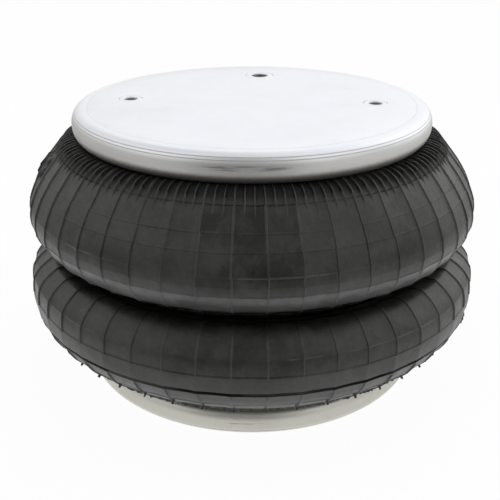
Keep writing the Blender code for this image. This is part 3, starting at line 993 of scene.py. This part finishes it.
def column_place(tree, entry, local, radius, rib, nub, on_fin, pitch):
    """Where a column stands between its rib's middle and the next rib's, as a share of the pitch.

    The rung counts from the rib's middle: 0.5 at its crest's edge, 1.5 at its foot, 2.5 beside it.
    """
    spare = Field(tree, entry.outputs["Panel Columns"])
    ladder = local - (RIB_COLUMNS - 1.0) / 2
    rung = ladder.math("ABSOLUTE")
    taper = (rib / entry.outputs["Rib Height"]).from_range(0.0, WIDE_FROM, THIN_START, 1.0)
    rib_width = taper * entry.outputs["Rib Half Width"]
    fin_width = rib_width.math("MAXIMUM", entry.outputs["Fin Half Width"])
    fin_width = fin_width * (nub / NUB_HEIGHT * NUB_WIDENING + 1.0)
    unit = radius * pitch
    half = (on_fin * (fin_width - rib_width) + rib_width) / unit
    beyond = half + Field(tree, entry.outputs["Support"]) / unit
    step_out = rung.from_range(0.5, 1.5, CREST_SHARE, 1.0) * half
    step_out = rung.math("GREATER_THAN", 2.0) * (beyond - step_out) + step_out
    on_panel = beyond + (beyond * -2.0 + 1.0) * (local - (RIB_COLUMNS - 1.0)) / (spare + 1.0)
    on_rib = local.math("LESS_THAN", RIB_COLUMNS - 0.5)
    return on_rib * (ladder.math("SIGN") * step_out - on_panel) + on_panel, on_rib, rung


print("a rib has", int(RIB_COLUMNS), "columns")


# %% Slow and ragged noise round the wall
# how fast the noise changes upwards, where it changes by 1 in a radian of the way round
NOISE_UP = 20.0


def swell_and_fray(tree, angle, height):
    """Slow noise and ragged noise round the wall, each between 0 and 1."""
    around = add_node(tree, "ShaderNodeCombineXYZ")
    feed(tree, angle.math("SINE"), around.inputs["X"])
    feed(tree, angle.math("COSINE"), around.inputs["Y"])
    feed(tree, height * NOISE_UP, around.inputs["Z"])
    wave = add_node(tree, "ShaderNodeTexNoise", {"Vector": around.outputs[0], "Scale": 3.0, "Detail": 1.0})
    ragged = add_node(tree, "ShaderNodeTexNoise", {"Vector": around.outputs[0], "Scale": 60.0, "Detail": 3.0})
    swell = Field(tree, wave.outputs["Fac"]).from_range(0.3, 0.7)
    return swell, Field(tree, ragged.outputs["Fac"]).from_range(0.35, 0.72)


print("on the lower crown the noise moves on by 1 in", 1.0 / NOISE_UP, "m up and", LOWER_CROWN[0], "m round")


# %% The Geometry Nodes tree of the ribbed wall
SUPPORT = 0.0003
JOG = 0.0008
HOOK = 0.0002
WALL_SEED = 3
# shifts the random numbers between the tiers, by more than there are ribs
TIER_SHIFT = 977.0
# half angles of a lump, inside and outside
LUMP_INSIDE = 0.04
LUMP_OUTSIDE = 0.08
# heights at which a line or a rib counts as there, and at which it is rubbed fully pale
NO_HEIGHT = 0.00001
LOW_RIB = 0.0002
PALE_RIB = 0.0008
PALE_LINE = 0.0010
# a lump is darkened from this height up, partly for its tear and partly as painted shade, and the tone for
# each metre of height
DARK_LUMP_HEIGHT = 0.0003
TEAR_AND_SHADE_TONE = 500.0
# above 1, the shade painted between the ribs keeps to where they are tall
VALLEY_SHADE_CLIMB = 3.0


def ribbed_wall_tree():
    """Turns an outline about Z with ribs, fins, ring lines and flash raised on it."""
    tree, entry, leave = start_tree("ribbed_wall", [
        ("Ribs", "NodeSocketInt", RIBS), ("Ribs per Fin", "NodeSocketInt", RIBS_PER_FIN),
        ("Panel Columns", "NodeSocketInt", 2), ("Rib Half Width", "NodeSocketFloat", RIB_HALF_WIDTH),
        ("Rib Height", "NodeSocketFloat", RIB_HEIGHT), ("Fin Half Width", "NodeSocketFloat", FIN_HALF_WIDTH),
        ("Support", "NodeSocketFloat", SUPPORT), ("Jog", "NodeSocketFloat", JOG),
        ("Hook", "NodeSocketFloat", HOOK), ("Pad Angle", "NodeSocketFloat", 0.0),
        ("Seed", "NodeSocketInt", WALL_SEED),
    ])
    outline = entry.outputs["Outline"]
    ribs = Field(tree, entry.outputs["Ribs"])
    per_fin = Field(tree, entry.outputs["Ribs per Fin"])
    each = Field(tree, entry.outputs["Panel Columns"]) + RIB_COLUMNS
    pitch = ribs.math("POWER", -1.0) * math.tau
    mesh, row, column = wrapped_grid(tree, outline, ribs * each)
    cell = (column / each + 0.001).math("FLOOR")
    radius, height = row_point(tree, outline, row)
    across, along = row_pair(tree, outline, row, named(tree, "out", "FLOAT_VECTOR"))
    rib, fin, ring, sink, flash, tier, nub, pad = [
        row_number(tree, outline, label, row) for label in ROW_VALUES
    ]
    on_fin = (cell % per_fin).math("LESS_THAN", 0.5)
    share, on_rib, rung = column_place(tree, entry, column % each, radius, rib, nub, on_fin, pitch)
    crest = rung.math("LESS_THAN", 1.0)

    seed = Field(tree, entry.outputs["Seed"])
    pick = add_node(tree, "FunctionNodeRandomValue", {"ID": cell + tier * TIER_SHIFT, "Seed": seed})
    chance = Field(tree, pick.outputs["Value"])
    calm = rib.math("LESS_THAN", NO_HEIGHT)
    jog = on_fin * on_rib * calm * (chance - 0.5) * entry.outputs["Jog"] / radius
    angle = (cell + share) * pitch + jog
    swell, fray = swell_and_fray(tree, angle, height)

    raised = crest * (on_fin * (fin.math("MAXIMUM", rib) - rib) + rib)
    knob = crest * on_fin * nub
    hook = crest * on_fin * calm * ring.math("GREATER_THAN", NO_HEIGHT) * chance * entry.outputs["Hook"]
    line = ring * (swell * 0.6 + 0.5)
    groove = line.math("MINIMUM", 0.0) * raised.math("LESS_THAN", LOW_RIB)
    panel = ((cell % per_fin) + share) / per_fin
    sag = sink * (panel * (panel * -1.0 + 1.0) * 4.0) * (swell * 0.8 + 0.4)
    off_pad = (angle - entry.outputs["Pad Angle"]).math("ABSOLUTE")
    lump = off_pad.from_range(LUMP_INSIDE, LUMP_OUTSIDE, 1.0, 0.0) * pad * (fray * 0.5 + 0.5)
    lift = raised.math("MAXIMUM", line) + groove + hook + knob + flash * fray + lump - sag
    place = point_at(tree, radius + across * lift, angle, height + along * lift)

    rubbed = (raised / PALE_RIB + ring / PALE_LINE).math("MINIMUM", 1.0)
    # Torn flash and lumps, nubs and the valleys between ribs are darkened: partly real tear, partly painted
    # shade.
    tear_and_shade = (flash + pad * lump.math("GREATER_THAN", DARK_LUMP_HEIGHT)) * fray * TEAR_AND_SHADE_TONE
    valley_shade = (crest * -1.0 + 1.0) * (rib / entry.outputs["Rib Height"]).math("POWER", VALLEY_SHADE_CLIMB)
    tear_and_shade_share = (knob / NUB_HEIGHT + tear_and_shade + valley_shade).math("MINIMUM", 1.0)
    mesh = stored(tree, mesh, "crest", rubbed)
    mesh = stored(tree, mesh, "tear_and_painted_shade", tear_and_shade_share)
    mesh = stored(tree, mesh, "painted_sheen", row_number(tree, outline, "painted_sheen", row))
    close_and_finish(tree, leave, mesh, place, entry.outputs["Finish"])
    return tree


WALL_TREE = ribbed_wall_tree()
print("wall tree", len(WALL_TREE.nodes), "nodes")

# %% [markdown]
# ### From tree to piece
#
# A modifier could stay on its object, but a finished piece has to be a plain mesh that can be
# exported. So each piece is grown once from the evaluated outline, and the outline goes. The
# helper counts the edges that don't join two faces, which would show an open seam.

# %% A helper that runs a tree on an outline and keeps a plain mesh
SHARP_ANGLE = 75.0


def evaluated_mesh(piece):
    """A plain mesh of an object with its modifiers applied."""
    bpy.context.view_layer.update()
    return bpy.data.meshes.new_from_object(piece.evaluated_get(bpy.context.evaluated_depsgraph_get()))


def grown(name, rows, tree, finish, closed=True, **inputs):
    """Run a Geometry Nodes tree on an outline, and keep the result as a plain mesh."""
    outline = outline_object(name + "_outline", rows, closed)
    modifier = outline.modifiers.new("grow", "NODES")
    modifier.node_group = tree
    for item in tree.interface.items_tree:
        if item.in_out != "INPUT":
            continue
        key = item.name.replace(" ", "_").lower()
        if item.name == "Finish":
            modifier[item.identifier] = finish
        elif key in inputs:
            modifier[item.identifier] = inputs[key]
    solid = evaluated_mesh(outline)
    outline.modifiers.clear()
    bpy.data.objects.remove(outline)
    return settled(name, solid, finish)


def settled(name, mesh, finish):
    """A finished piece at the origin, with faces that point outwards."""
    shape = bmesh.new()
    shape.from_mesh(mesh)
    bmesh.ops.recalc_face_normals(shape, faces=shape.faces)
    open_edges = sum(not edge.is_manifold for edge in shape.edges)
    shape.to_mesh(mesh)
    shape.free()
    mesh.name = name
    mesh.materials.clear()
    mesh.materials.append(finish)
    mesh.set_sharp_from_angle(angle=math.radians(SHARP_ANGLE))
    piece = bpy.data.objects.new(name, mesh)
    bpy.context.scene.collection.objects.link(piece)
    count = sum(len(face.vertices) - 2 for face in mesh.polygons)
    print(name, count, "triangles,", open_edges, "open edges")
    return piece


print("inputs of the wall tree:", [item.name for item in WALL_TREE.interface.items_tree])

# %% [markdown]
# ### The lobes
#
# Each half of a lobe is its own piece, because it folds on its own slide between two rings. The
# pieces meet exactly on the widest line of the lobe, which moves as a rigid ring. The shoulders
# carry 144 ribs, so each has few columns. The flanks carry only the fins, which stand three
# times as far apart, so more columns keep the panels between them round.

# %% What is moulded at which height
# each ring line: height, rise, and its half width at the foot and at the crest in steps
UPPER_LINES_ABOVE = [
    (0.1536, -0.0006, 2, 1), (0.1418, 0.00036, 2, 0), (0.1332, 0.00036, 2, 0), (0.1212, 0.00040, 2, 0),
]
UPPER_LINES_BELOW = [(0.1102, 0.00045, 2, 0), (0.0985, 0.00030, 2, 0)]
LOWER_LINES_ABOVE = [(0.0743, 0.00036, 2, 0), (0.0640, 0.00035, 2, 0)]
LOWER_LINES_BELOW = [
    (0.0524, -0.0026, 5, 4), (0.0410, 0.00030, 2, 0), (0.0368, 0.0, 3, 1),
    (0.0320, 0.0006, 4, 1), (0.0265, 0.0002, 2, 0),
]
PLAIN_BAND = (0.0640, 0.0504)
# heights, each with its share of painted sheen, a paler grey that stands for light from the floor
LOWER_SHEEN = [(0.0640, 0.16), (0.0524, 0.16)]
UPPER_SHEEN = [(0.1212, 0.0), (0.1108, 0.35), (0.1095, 1.0), (0.1000, 0.9), (0.0965, 0.0)]
# lower and upper end of a lump of flash, and its height
UPPER_LUMP = (0.1370, 0.1500, 0.0024)
LOWER_LUMP = (0.0430, 0.0505, 0.0026)
UPPER_LUMP_ANGLE = math.radians(286.0)
LOWER_LUMP_ANGLE = math.radians(73.0)
# the lower flank turns in over the hoop in a few points
LOWER_INWARD = [(0.1280, 0.0862), (0.1235, 0.0840), (0.1205, 0.0813)]
with_ribs = {"ribs": RIBS, "ribs_per_fin": RIBS_PER_FIN, "panel_columns": 2}
fins_only = {"ribs": RIBS // RIBS_PER_FIN, "ribs_per_fin": 1, "panel_columns": 5}
print("the plain band is", round(PLAIN_BAND[0] - PLAIN_BAND[1], 4), "m high")

# %% The four halves of the two lobes
upper_shoulder_rows = wall_rows(
    UPPER_CROWN, UPPER_TOP, fullness=1.65, root=UPPER_ROOT, fillet=0.0090, fade_out=0.1085,
    rings=UPPER_LINES_ABOVE, ribs=(0.1508, 0.1570), low_fins=0.1212, sheen_heights=UPPER_SHEEN, pad=UPPER_LUMP,
)
upper_shoulder = grown(
    "ribbed_upper_shoulder", upper_shoulder_rows, WALL_TREE, RUBBER, pad_angle=UPPER_LUMP_ANGLE, **with_ribs
)
upper_flank_rows = wall_rows(
    UPPER_CROWN, UPPER_FOOT, fullness=2.5, root=UPPER_WAIST_ROOT, fillet=0.0030, fade_out=0.1175,
    rings=UPPER_LINES_BELOW, low_fins=FREE_HEIGHT, sheen_heights=UPPER_SHEEN,
)
upper_flank = grown("ribbed_upper_flank", upper_flank_rows, WALL_TREE, RUBBER, **fins_only)
lower_flank_rows = wall_rows(
    LOWER_CROWN, LOWER_TOP, fullness=3.5, root=LOWER_WAIST_ROOT, fillet=0.0012, fade_out=0.1240,
    rings=LOWER_LINES_ABOVE, band=PLAIN_BAND, inward=LOWER_INWARD, sheen_heights=LOWER_SHEEN,
)
lower_flank = grown("ribbed_lower_flank", lower_flank_rows, WALL_TREE, RUBBER, **fins_only)
lower_shoulder_rows = wall_rows(
    LOWER_CROWN, LOWER_FOOT, fullness=2.3, root=LOWER_ROOT, fillet=0.0040, fade_out=0.1075,
    rings=LOWER_LINES_BELOW, ribs=(0.0290, 0.0230), flash=(0.0320, 0.0012), band=PLAIN_BAND,
    nubs=(0.0372, 0.0364), sheen_heights=LOWER_SHEEN, pad=LOWER_LUMP,
)
lower_shoulder = grown(
    "ribbed_lower_shoulder", lower_shoulder_rows, WALL_TREE, RUBBER, pad_angle=LOWER_LUMP_ANGLE, **with_ribs
)

# %% [markdown]
# ### Motion of the walls
#
# The rings at the crowns and the waist stay rigid, and the rubber between them folds. Parenting
# a wall to one ring would tear it off the other. Each wall is listed with the two bodies that it
# joins and the heights between which it would bend, from the edge of its crown's rigid band.

# %% The walls' bodies and bend heights, and the CAD pieces they replace
CROWN_BAND_HALF = 0.0020
upper_band_top = round(UPPER_CROWN[1] + CROWN_BAND_HALF, 4)
upper_band_foot = round(UPPER_CROWN[1] - CROWN_BAND_HALF, 4)
lower_band_top = round(LOWER_CROWN[1] + CROWN_BAND_HALF, 4)
lower_band_foot = round(LOWER_CROWN[1] - CROWN_BAND_HALF, 4)
lower_flank_top = round(LOWER_WAIST_ROOT[1], 4)
upper_shoulder_nodes = ("upper_shoulder_wall", "upper_crown_band")
lower_shoulder_nodes = ("lower_shoulder_wall", "lower_crown_band")
zones = [
    (upper_shoulder, "upper_crown", "upper_end", upper_band_top, UPPER_TOP[1], upper_shoulder_nodes),
    (upper_flank, "waist", "upper_crown", UPPER_FOOT[1], upper_band_foot, ("upper_waist_wall",)),
    (lower_flank, "lower_crown", "waist", lower_band_top, lower_flank_top, ("lower_waist_wall",)),
    (lower_shoulder, "lower_end", "lower_crown", LOWER_FOOT[1], lower_band_foot, lower_shoulder_nodes),
]
for piece, low_body, high_body, low, high, nodes in zones:
    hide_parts(*nodes)
    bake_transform(piece)
    print(piece.name, "bends from", low, "to", high)

# %% [markdown]
# ## Turned pieces
#
# The waist, the hoop, the plates and the nuts are turned from plain sections. The Spin operator
# could turn them too, but the nuts need a thread. Here the radius grows and shrinks with height
# and angle wherever a row asks for a thread, which leaves a helix.

# %% The Geometry Nodes tree of plain turned pieces, with an optional thread
NUT_PITCH = INCH / 16
RING_STEPS = 192
THREAD_DEPTH = 0.0007


def turned_tree():
    """Turns an outline about Z. Where its thread value is set, a helix is cut into it."""
    tree, entry, leave = start_tree("turned_piece", [
        ("Steps", "NodeSocketInt", RING_STEPS), ("Pitch", "NodeSocketFloat", NUT_PITCH),
        ("Depth", "NodeSocketFloat", THREAD_DEPTH),
    ])
    outline = entry.outputs["Outline"]
    steps = Field(tree, entry.outputs["Steps"])
    mesh, row, column = wrapped_grid(tree, outline, steps)
    radius, height = row_point(tree, outline, row)
    turn = column / steps
    phase = (height / entry.outputs["Pitch"] + turn) % 1.0
    tooth = ((phase - 0.5).math("ABSOLUTE") * 2.0).from_range(0.1, 0.9)
    cut = radius + row_number(tree, outline, "thread", row) * tooth * entry.outputs["Depth"]
    # the rows' ring value darkens the zinc: the rolled lines, the step, and the bores as painted shade
    mesh = stored(tree, mesh, "groove", row_number(tree, outline, "ring", row))
    place = point_at(tree, cut, turn * math.tau, height)
    close_and_finish(tree, leave, mesh, place, entry.outputs["Finish"])
    return tree


TURNED = turned_tree()
print("turned tree", len(TURNED.nodes), "nodes")


# %% Sections of turned pieces
def ellipse(centre, half, start, stop, count, fullness=2.0):
    """Points on a superellipse from one angle to another, in degrees."""
    points = []
    for index in range(count):
        angle = math.radians(start + (stop - start) * index / (count - 1))
        across = math.copysign(abs(math.cos(angle)) ** (2.0 / fullness), math.cos(angle))
        along = math.copysign(abs(math.sin(angle)) ** (2.0 / fullness), math.sin(angle))
        points.append((centre[0] + half[0] * across, centre[1] + half[1] * along))
    return points


def plain_rows(points):
    """Outline rows without any pattern."""
    return [{"at": point} for point in points]


print("a quarter of a circle:", ellipse((0.0, 0.0), (1.0, 1.0), 0, 90, 3))

# %% [markdown]
# ### Waist
#
# Between the lobes the wall turns back round a steel hoop, which keeps the waist from growing
# when the bellows is pressurised. Two tori would meet badly with the wall, so the rubber is a
# half ring of the wall's thickness round the hoop's seat, and only the hoop is a full ring.

# %% Waist band and hoop
BAND_POINTS = 20
HOOP_POINTS = 24
waist_centre = (HOOP_RADIUS, WAIST_HEIGHT)
band_outside = HOOP_SEAT + WALL
band_points = ellipse(waist_centre, (HOOP_SEAT, HOOP_SEAT), 90, 270, BAND_POINTS)
band_points += ellipse(waist_centre, (band_outside, band_outside), 270, 90, BAND_POINTS)
band = grown("waist_band_rubber", plain_rows(band_points), TURNED, RUBBER, steps=RING_STEPS)
hoop_points = ellipse(waist_centre, (HOOP_WIRE, HOOP_WIRE), 0, 360 - 360 / HOOP_POINTS, HOOP_POINTS)
# the hoop's near-black steel is painted shade
hoop = grown("hoop_in_waist", plain_rows(hoop_points), TURNED, SHADED_WIRE, steps=RING_STEPS)
for piece, node, finish in ((band, "waist_band", "moulded_rubber"), (hoop, "girdle_hoop", "steel_wire")):
    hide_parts(node)
    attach(piece, "waist")

# %% [markdown]
# ## Crimped bead plates
#
# Each plate is a disc of 3 mm sheet whose rim is rolled down and under, round the rubber bead.
# The rolling leaves two fine lines on the shoulder and a faint step where the flat ends. A bevel
# on a cylinder can't follow that, so one outline holds all of it. The holes for the nuts are cut
# afterwards with Boolean modifiers, because a turned outline can't have them.

# %% Plate outline
PLATE_SHEET = 0.0030
CRIMP_DEPTH = 0.0180
CRIMP_REACH = 0.0081
CRIMP_CENTRE = (PLATE_RADIUS - CRIMP_REACH, -CRIMP_DEPTH / 2)
# the rim is rolled from its top, at 90 degrees, past its outermost point and under
CRIMP_END = -112.5
CRIMP_FULLNESS = 2.3
CRIMP_SAMPLES = 600
CRIMP_STEP = 0.00005
CRIMP_ROW_STEP = 9
INSIDE_POINTS = 24
# rolled lines: how far below the face, how deep, and their shape in steps of the crimp
LINE_DEPTHS = (0.0024, 0.0039)
LINE_GROOVE = 0.00012
LINE_SHAPE = ((-8, 0.0), (-6, 0.0), (-3, 1.0), (3, 1.0), (6, 0.0), (8, 0.0))
# the faint step where the flat ends
FLAT_END = 0.1044
FLAT_END_HALF = 0.0004
FLAT_END_GROOVE = 0.0001


def plate_rows(base, flip):
    """Section of a plate from the middle of its face to the middle of its back, with its fine lines."""
    half = (CRIMP_REACH, CRIMP_DEPTH / 2)
    outside = ellipse(CRIMP_CENTRE, half, 90, CRIMP_END, CRIMP_SAMPLES, CRIMP_FULLNESS)
    outside = evenly(outside, CRIMP_STEP)
    marks = {index: 0.0 for index in range(0, len(outside), CRIMP_ROW_STEP)}
    marks[len(outside) - 1] = 0.0
    for depth in LINE_DEPTHS:
        middle = nearest(outside, -depth, len(outside) // 2)
        for shift, share in LINE_SHAPE:
            marks[middle + shift] = share
    rows = [{"at": (radius, 0.0)} for radius in (0.0, 0.030, 0.060, 0.090, FLAT_END - FLAT_END_HALF)]
    rows.append({"at": (FLAT_END, -FLAT_END_GROOVE), "ring": 0.25})
    rows.append({"at": (FLAT_END + FLAT_END_HALF, 0.0)})
    for index in sorted(marks):
        radius, height = outside[index]
        if radius > FLAT_END + 2 * FLAT_END_HALF or height < -PLATE_SHEET:
            rows.append({"at": (radius - LINE_GROOVE * marks[index], height), "ring": marks[index]})
    inside_half = (CRIMP_REACH - PLATE_SHEET, CRIMP_DEPTH / 2 - PLATE_SHEET)
    inside = ellipse(CRIMP_CENTRE, inside_half, CRIMP_END, 90, INSIDE_POINTS, CRIMP_FULLNESS)
    rows += plain_rows(inside + [(radius, -PLATE_SHEET) for radius in (0.090, 0.060, 0.0)])
    for row in rows:
        radius, height = row["at"]
        row["at"] = (radius, base + (-height if flip else height))
    return rows


print("plate outline", len(plate_rows(0.0, False)), "rows")


# %% The two plates, with their holes
NUT_OFFSET = round(6.2 * INCH / 2, 6)
INLET_OFFSET = 0.0760
NUT_HOLE = 0.0077
INLET_HOLE = 0.0100
HOLE_DEPTH = 0.03
HOLE_STEPS = 64
PLATE_STEPS = 288
PLATE_SHARP_ANGLE = 32.0


def bored(piece, holes, middle):
    """Cut upright round holes right through a piece."""
    cutters = []
    for radius, x, y in holes:
        mesh = bpy.data.meshes.new("bore")
        shape = bmesh.new()
        size = {"radius1": radius, "radius2": radius, "depth": HOLE_DEPTH}
        bmesh.ops.create_cone(shape, cap_ends=True, segments=HOLE_STEPS, **size)
        bmesh.ops.translate(shape, verts=shape.verts, vec=(x, y, middle))
        shape.to_mesh(mesh)
        shape.free()
        cutter = bpy.data.objects.new("bore", mesh)
        bpy.context.scene.collection.objects.link(cutter)
        cutters.append(cutter)
        boolean = piece.modifiers.new("bore", "BOOLEAN")
        boolean.operation = "DIFFERENCE"
        boolean.object = cutter
    solid = evaluated_mesh(piece)
    piece.modifiers.clear()
    piece.data = solid
    for cutter in cutters:
        bpy.data.objects.remove(cutter)
    solid.shade_smooth()
    solid.set_sharp_from_angle(angle=math.radians(PLATE_SHARP_ANGLE))


for place, base, flip in (("top", FREE_HEIGHT, False), ("bottom", 0.0, True)):
    section = plate_rows(base, flip)
    finish = AGED_ZINC if flip else ZINC
    plate = grown(f"crimped_{place}_plate", section, TURNED, finish, closed=False, steps=PLATE_STEPS)
    holes = [(NUT_HOLE, side * NUT_OFFSET, 0.0) for side in (-1, 1)]
    if place == "top":
        holes.append((INLET_HOLE, 0.0, INLET_OFFSET))
    bored(plate, holes, base)
    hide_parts(f"{place}_bead_plate")
    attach(plate, "upper_end" if place == "top" else "lower_end")

# %% [markdown]
# ## Nuts and air inlet
#
# The nuts are turned, pressed into the plate flush with its face, and threaded. A thread could
# be painted as stripes, but the openings are seen at a slant, where real turns catch the light.
# The rows along a bore stand close together, one to each eighth of a turn, and the tree that
# turns the outline cuts the helix.

# %% Rows of a threaded bore
ROWS_PER_TURN = 8


def threaded_rows(end, bore, mouth, bore_top, bore_foot, pitch):
    """Outline of a threaded bore from its closed end up, one row to each eighth of a turn."""
    rows = plain_rows(end)
    count = int((bore_top - bore_foot) / (pitch / ROWS_PER_TURN))
    for index in range(count + 1):
        height = bore_foot + (bore_top - bore_foot) * index / count
        edge = min(index, count - index) / ROWS_PER_TURN
        # ring 1.0 darkens the whole bore: painted shade inside the nut
        rows.append({"at": (bore, height), "thread": min(1.0, edge), "ring": 1.0})
    rows.append({"at": (mouth, 0.0)})
    return rows


print("thread pitch", round(1000 * NUT_PITCH, 3), "mm")


# %% Threaded nuts
SEAT_GAP = 0.0003
SHEET_FOOT = -PLATE_SHEET - SEAT_GAP
NUT_STEPS = 48
NUT_SHARP_ANGLE = 40.0
# the bore's radius and its mouth's, and the heights between which it is threaded
NUT_BORE = (0.0040, 0.0049, -0.0009, -0.0130)
NUT_END = [(0.0, -0.0150), (0.0036, -0.0136)]
NUT_OUTSIDE = [
    (0.0051, 0.0), (0.0072, 0.0), (0.0075, -0.0003), (0.0075, SHEET_FOOT), (0.0108, SHEET_FOOT),
    (0.0110, SHEET_FOOT - 0.0002), (0.0110, SHEET_FOOT - 0.0028), (0.0108, SHEET_FOOT - 0.0030),
    (0.0075, SHEET_FOOT - 0.0030), (0.0075, -0.0180), (0.0065, -0.0190), (0.0, -0.0190),
]


def shifted(piece, x, y, z, flip):
    """Move a finished mesh to its place, upside down for the bottom plate."""
    for vertex in piece.data.vertices:
        height = -vertex.co.z if flip else vertex.co.z
        vertex.co = (vertex.co.x + x, vertex.co.y + y, height + z)
    if flip:
        piece.data.flip_normals()
    piece.data.shade_smooth()
    piece.data.set_sharp_from_angle(angle=math.radians(NUT_SHARP_ANGLE))


nut_rows = threaded_rows(NUT_END, *NUT_BORE, NUT_PITCH) + plain_rows(NUT_OUTSIDE)
for place, base, flip, body in (("top", FREE_HEIGHT, False, "upper_end"), ("bottom", 0.0, True, "lower_end")):
    for hand, side in (("left", -1), ("right", 1)):
        nut = grown(f"threaded_{place}_{hand}_nut", nut_rows, TURNED, ZINC, closed=False, steps=NUT_STEPS)
        shifted(nut, side * NUT_OFFSET, 0.0, base, flip)
        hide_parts(f"{place}_blind_nut_{hand}")
        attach(nut, body)

# %% The threaded air inlet
INLET_PITCH = round(INCH / 18, 7)
INLET_STEPS = 64
INLET_BORE = (0.0056, 0.0062, -0.0006, -0.0156)
INLET_OUTSIDE = [
    (0.0064, 0.0), (0.0095, 0.0), (0.0098, -0.0003), (0.0098, SHEET_FOOT), (0.0133, SHEET_FOOT),
    (0.0135, SHEET_FOOT - 0.0002), (0.0135, SHEET_FOOT - 0.0033), (0.0133, SHEET_FOOT - 0.0035),
    (0.0098, SHEET_FOOT - 0.0035), (0.0098, -0.0156), (0.0094, -0.0160), (0.0060, -0.0160),
]
inlet_rows = threaded_rows([], *INLET_BORE, INLET_PITCH) + plain_rows(INLET_OUTSIDE)
inlet = grown("threaded_air_inlet", inlet_rows, TURNED, ZINC, steps=INLET_STEPS, pitch=INLET_PITCH)
shifted(inlet, 0.0, INLET_OFFSET, FREE_HEIGHT, False)
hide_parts("air_inlet_boss")
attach(inlet, "upper_end")

# %% [markdown]
# ## Pieces carried over from the CAD model
#
# The beads, their cores, the bumper and its fastening are hidden inside. They could be made
# again, but their shapes are right as they are, so they only get their finishes.

# %% Finishes for the carried-over pieces
carried = {
    RUBBER: ("upper_bead", "lower_bead"),
    WIRE: ("upper_bead_core", "lower_bead_core", "bumper_stud", "bumper_washer", "bumper_locknut"),
    BUMPER_RUBBER: ("bumper",),
}
for finish, names in carried.items():
    for name in names:
        for material_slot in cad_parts[name].material_slots:
            material_slot.material = finish
print("carried over", sum(len(names) for names in carried.values()), "pieces")

# %% [markdown]
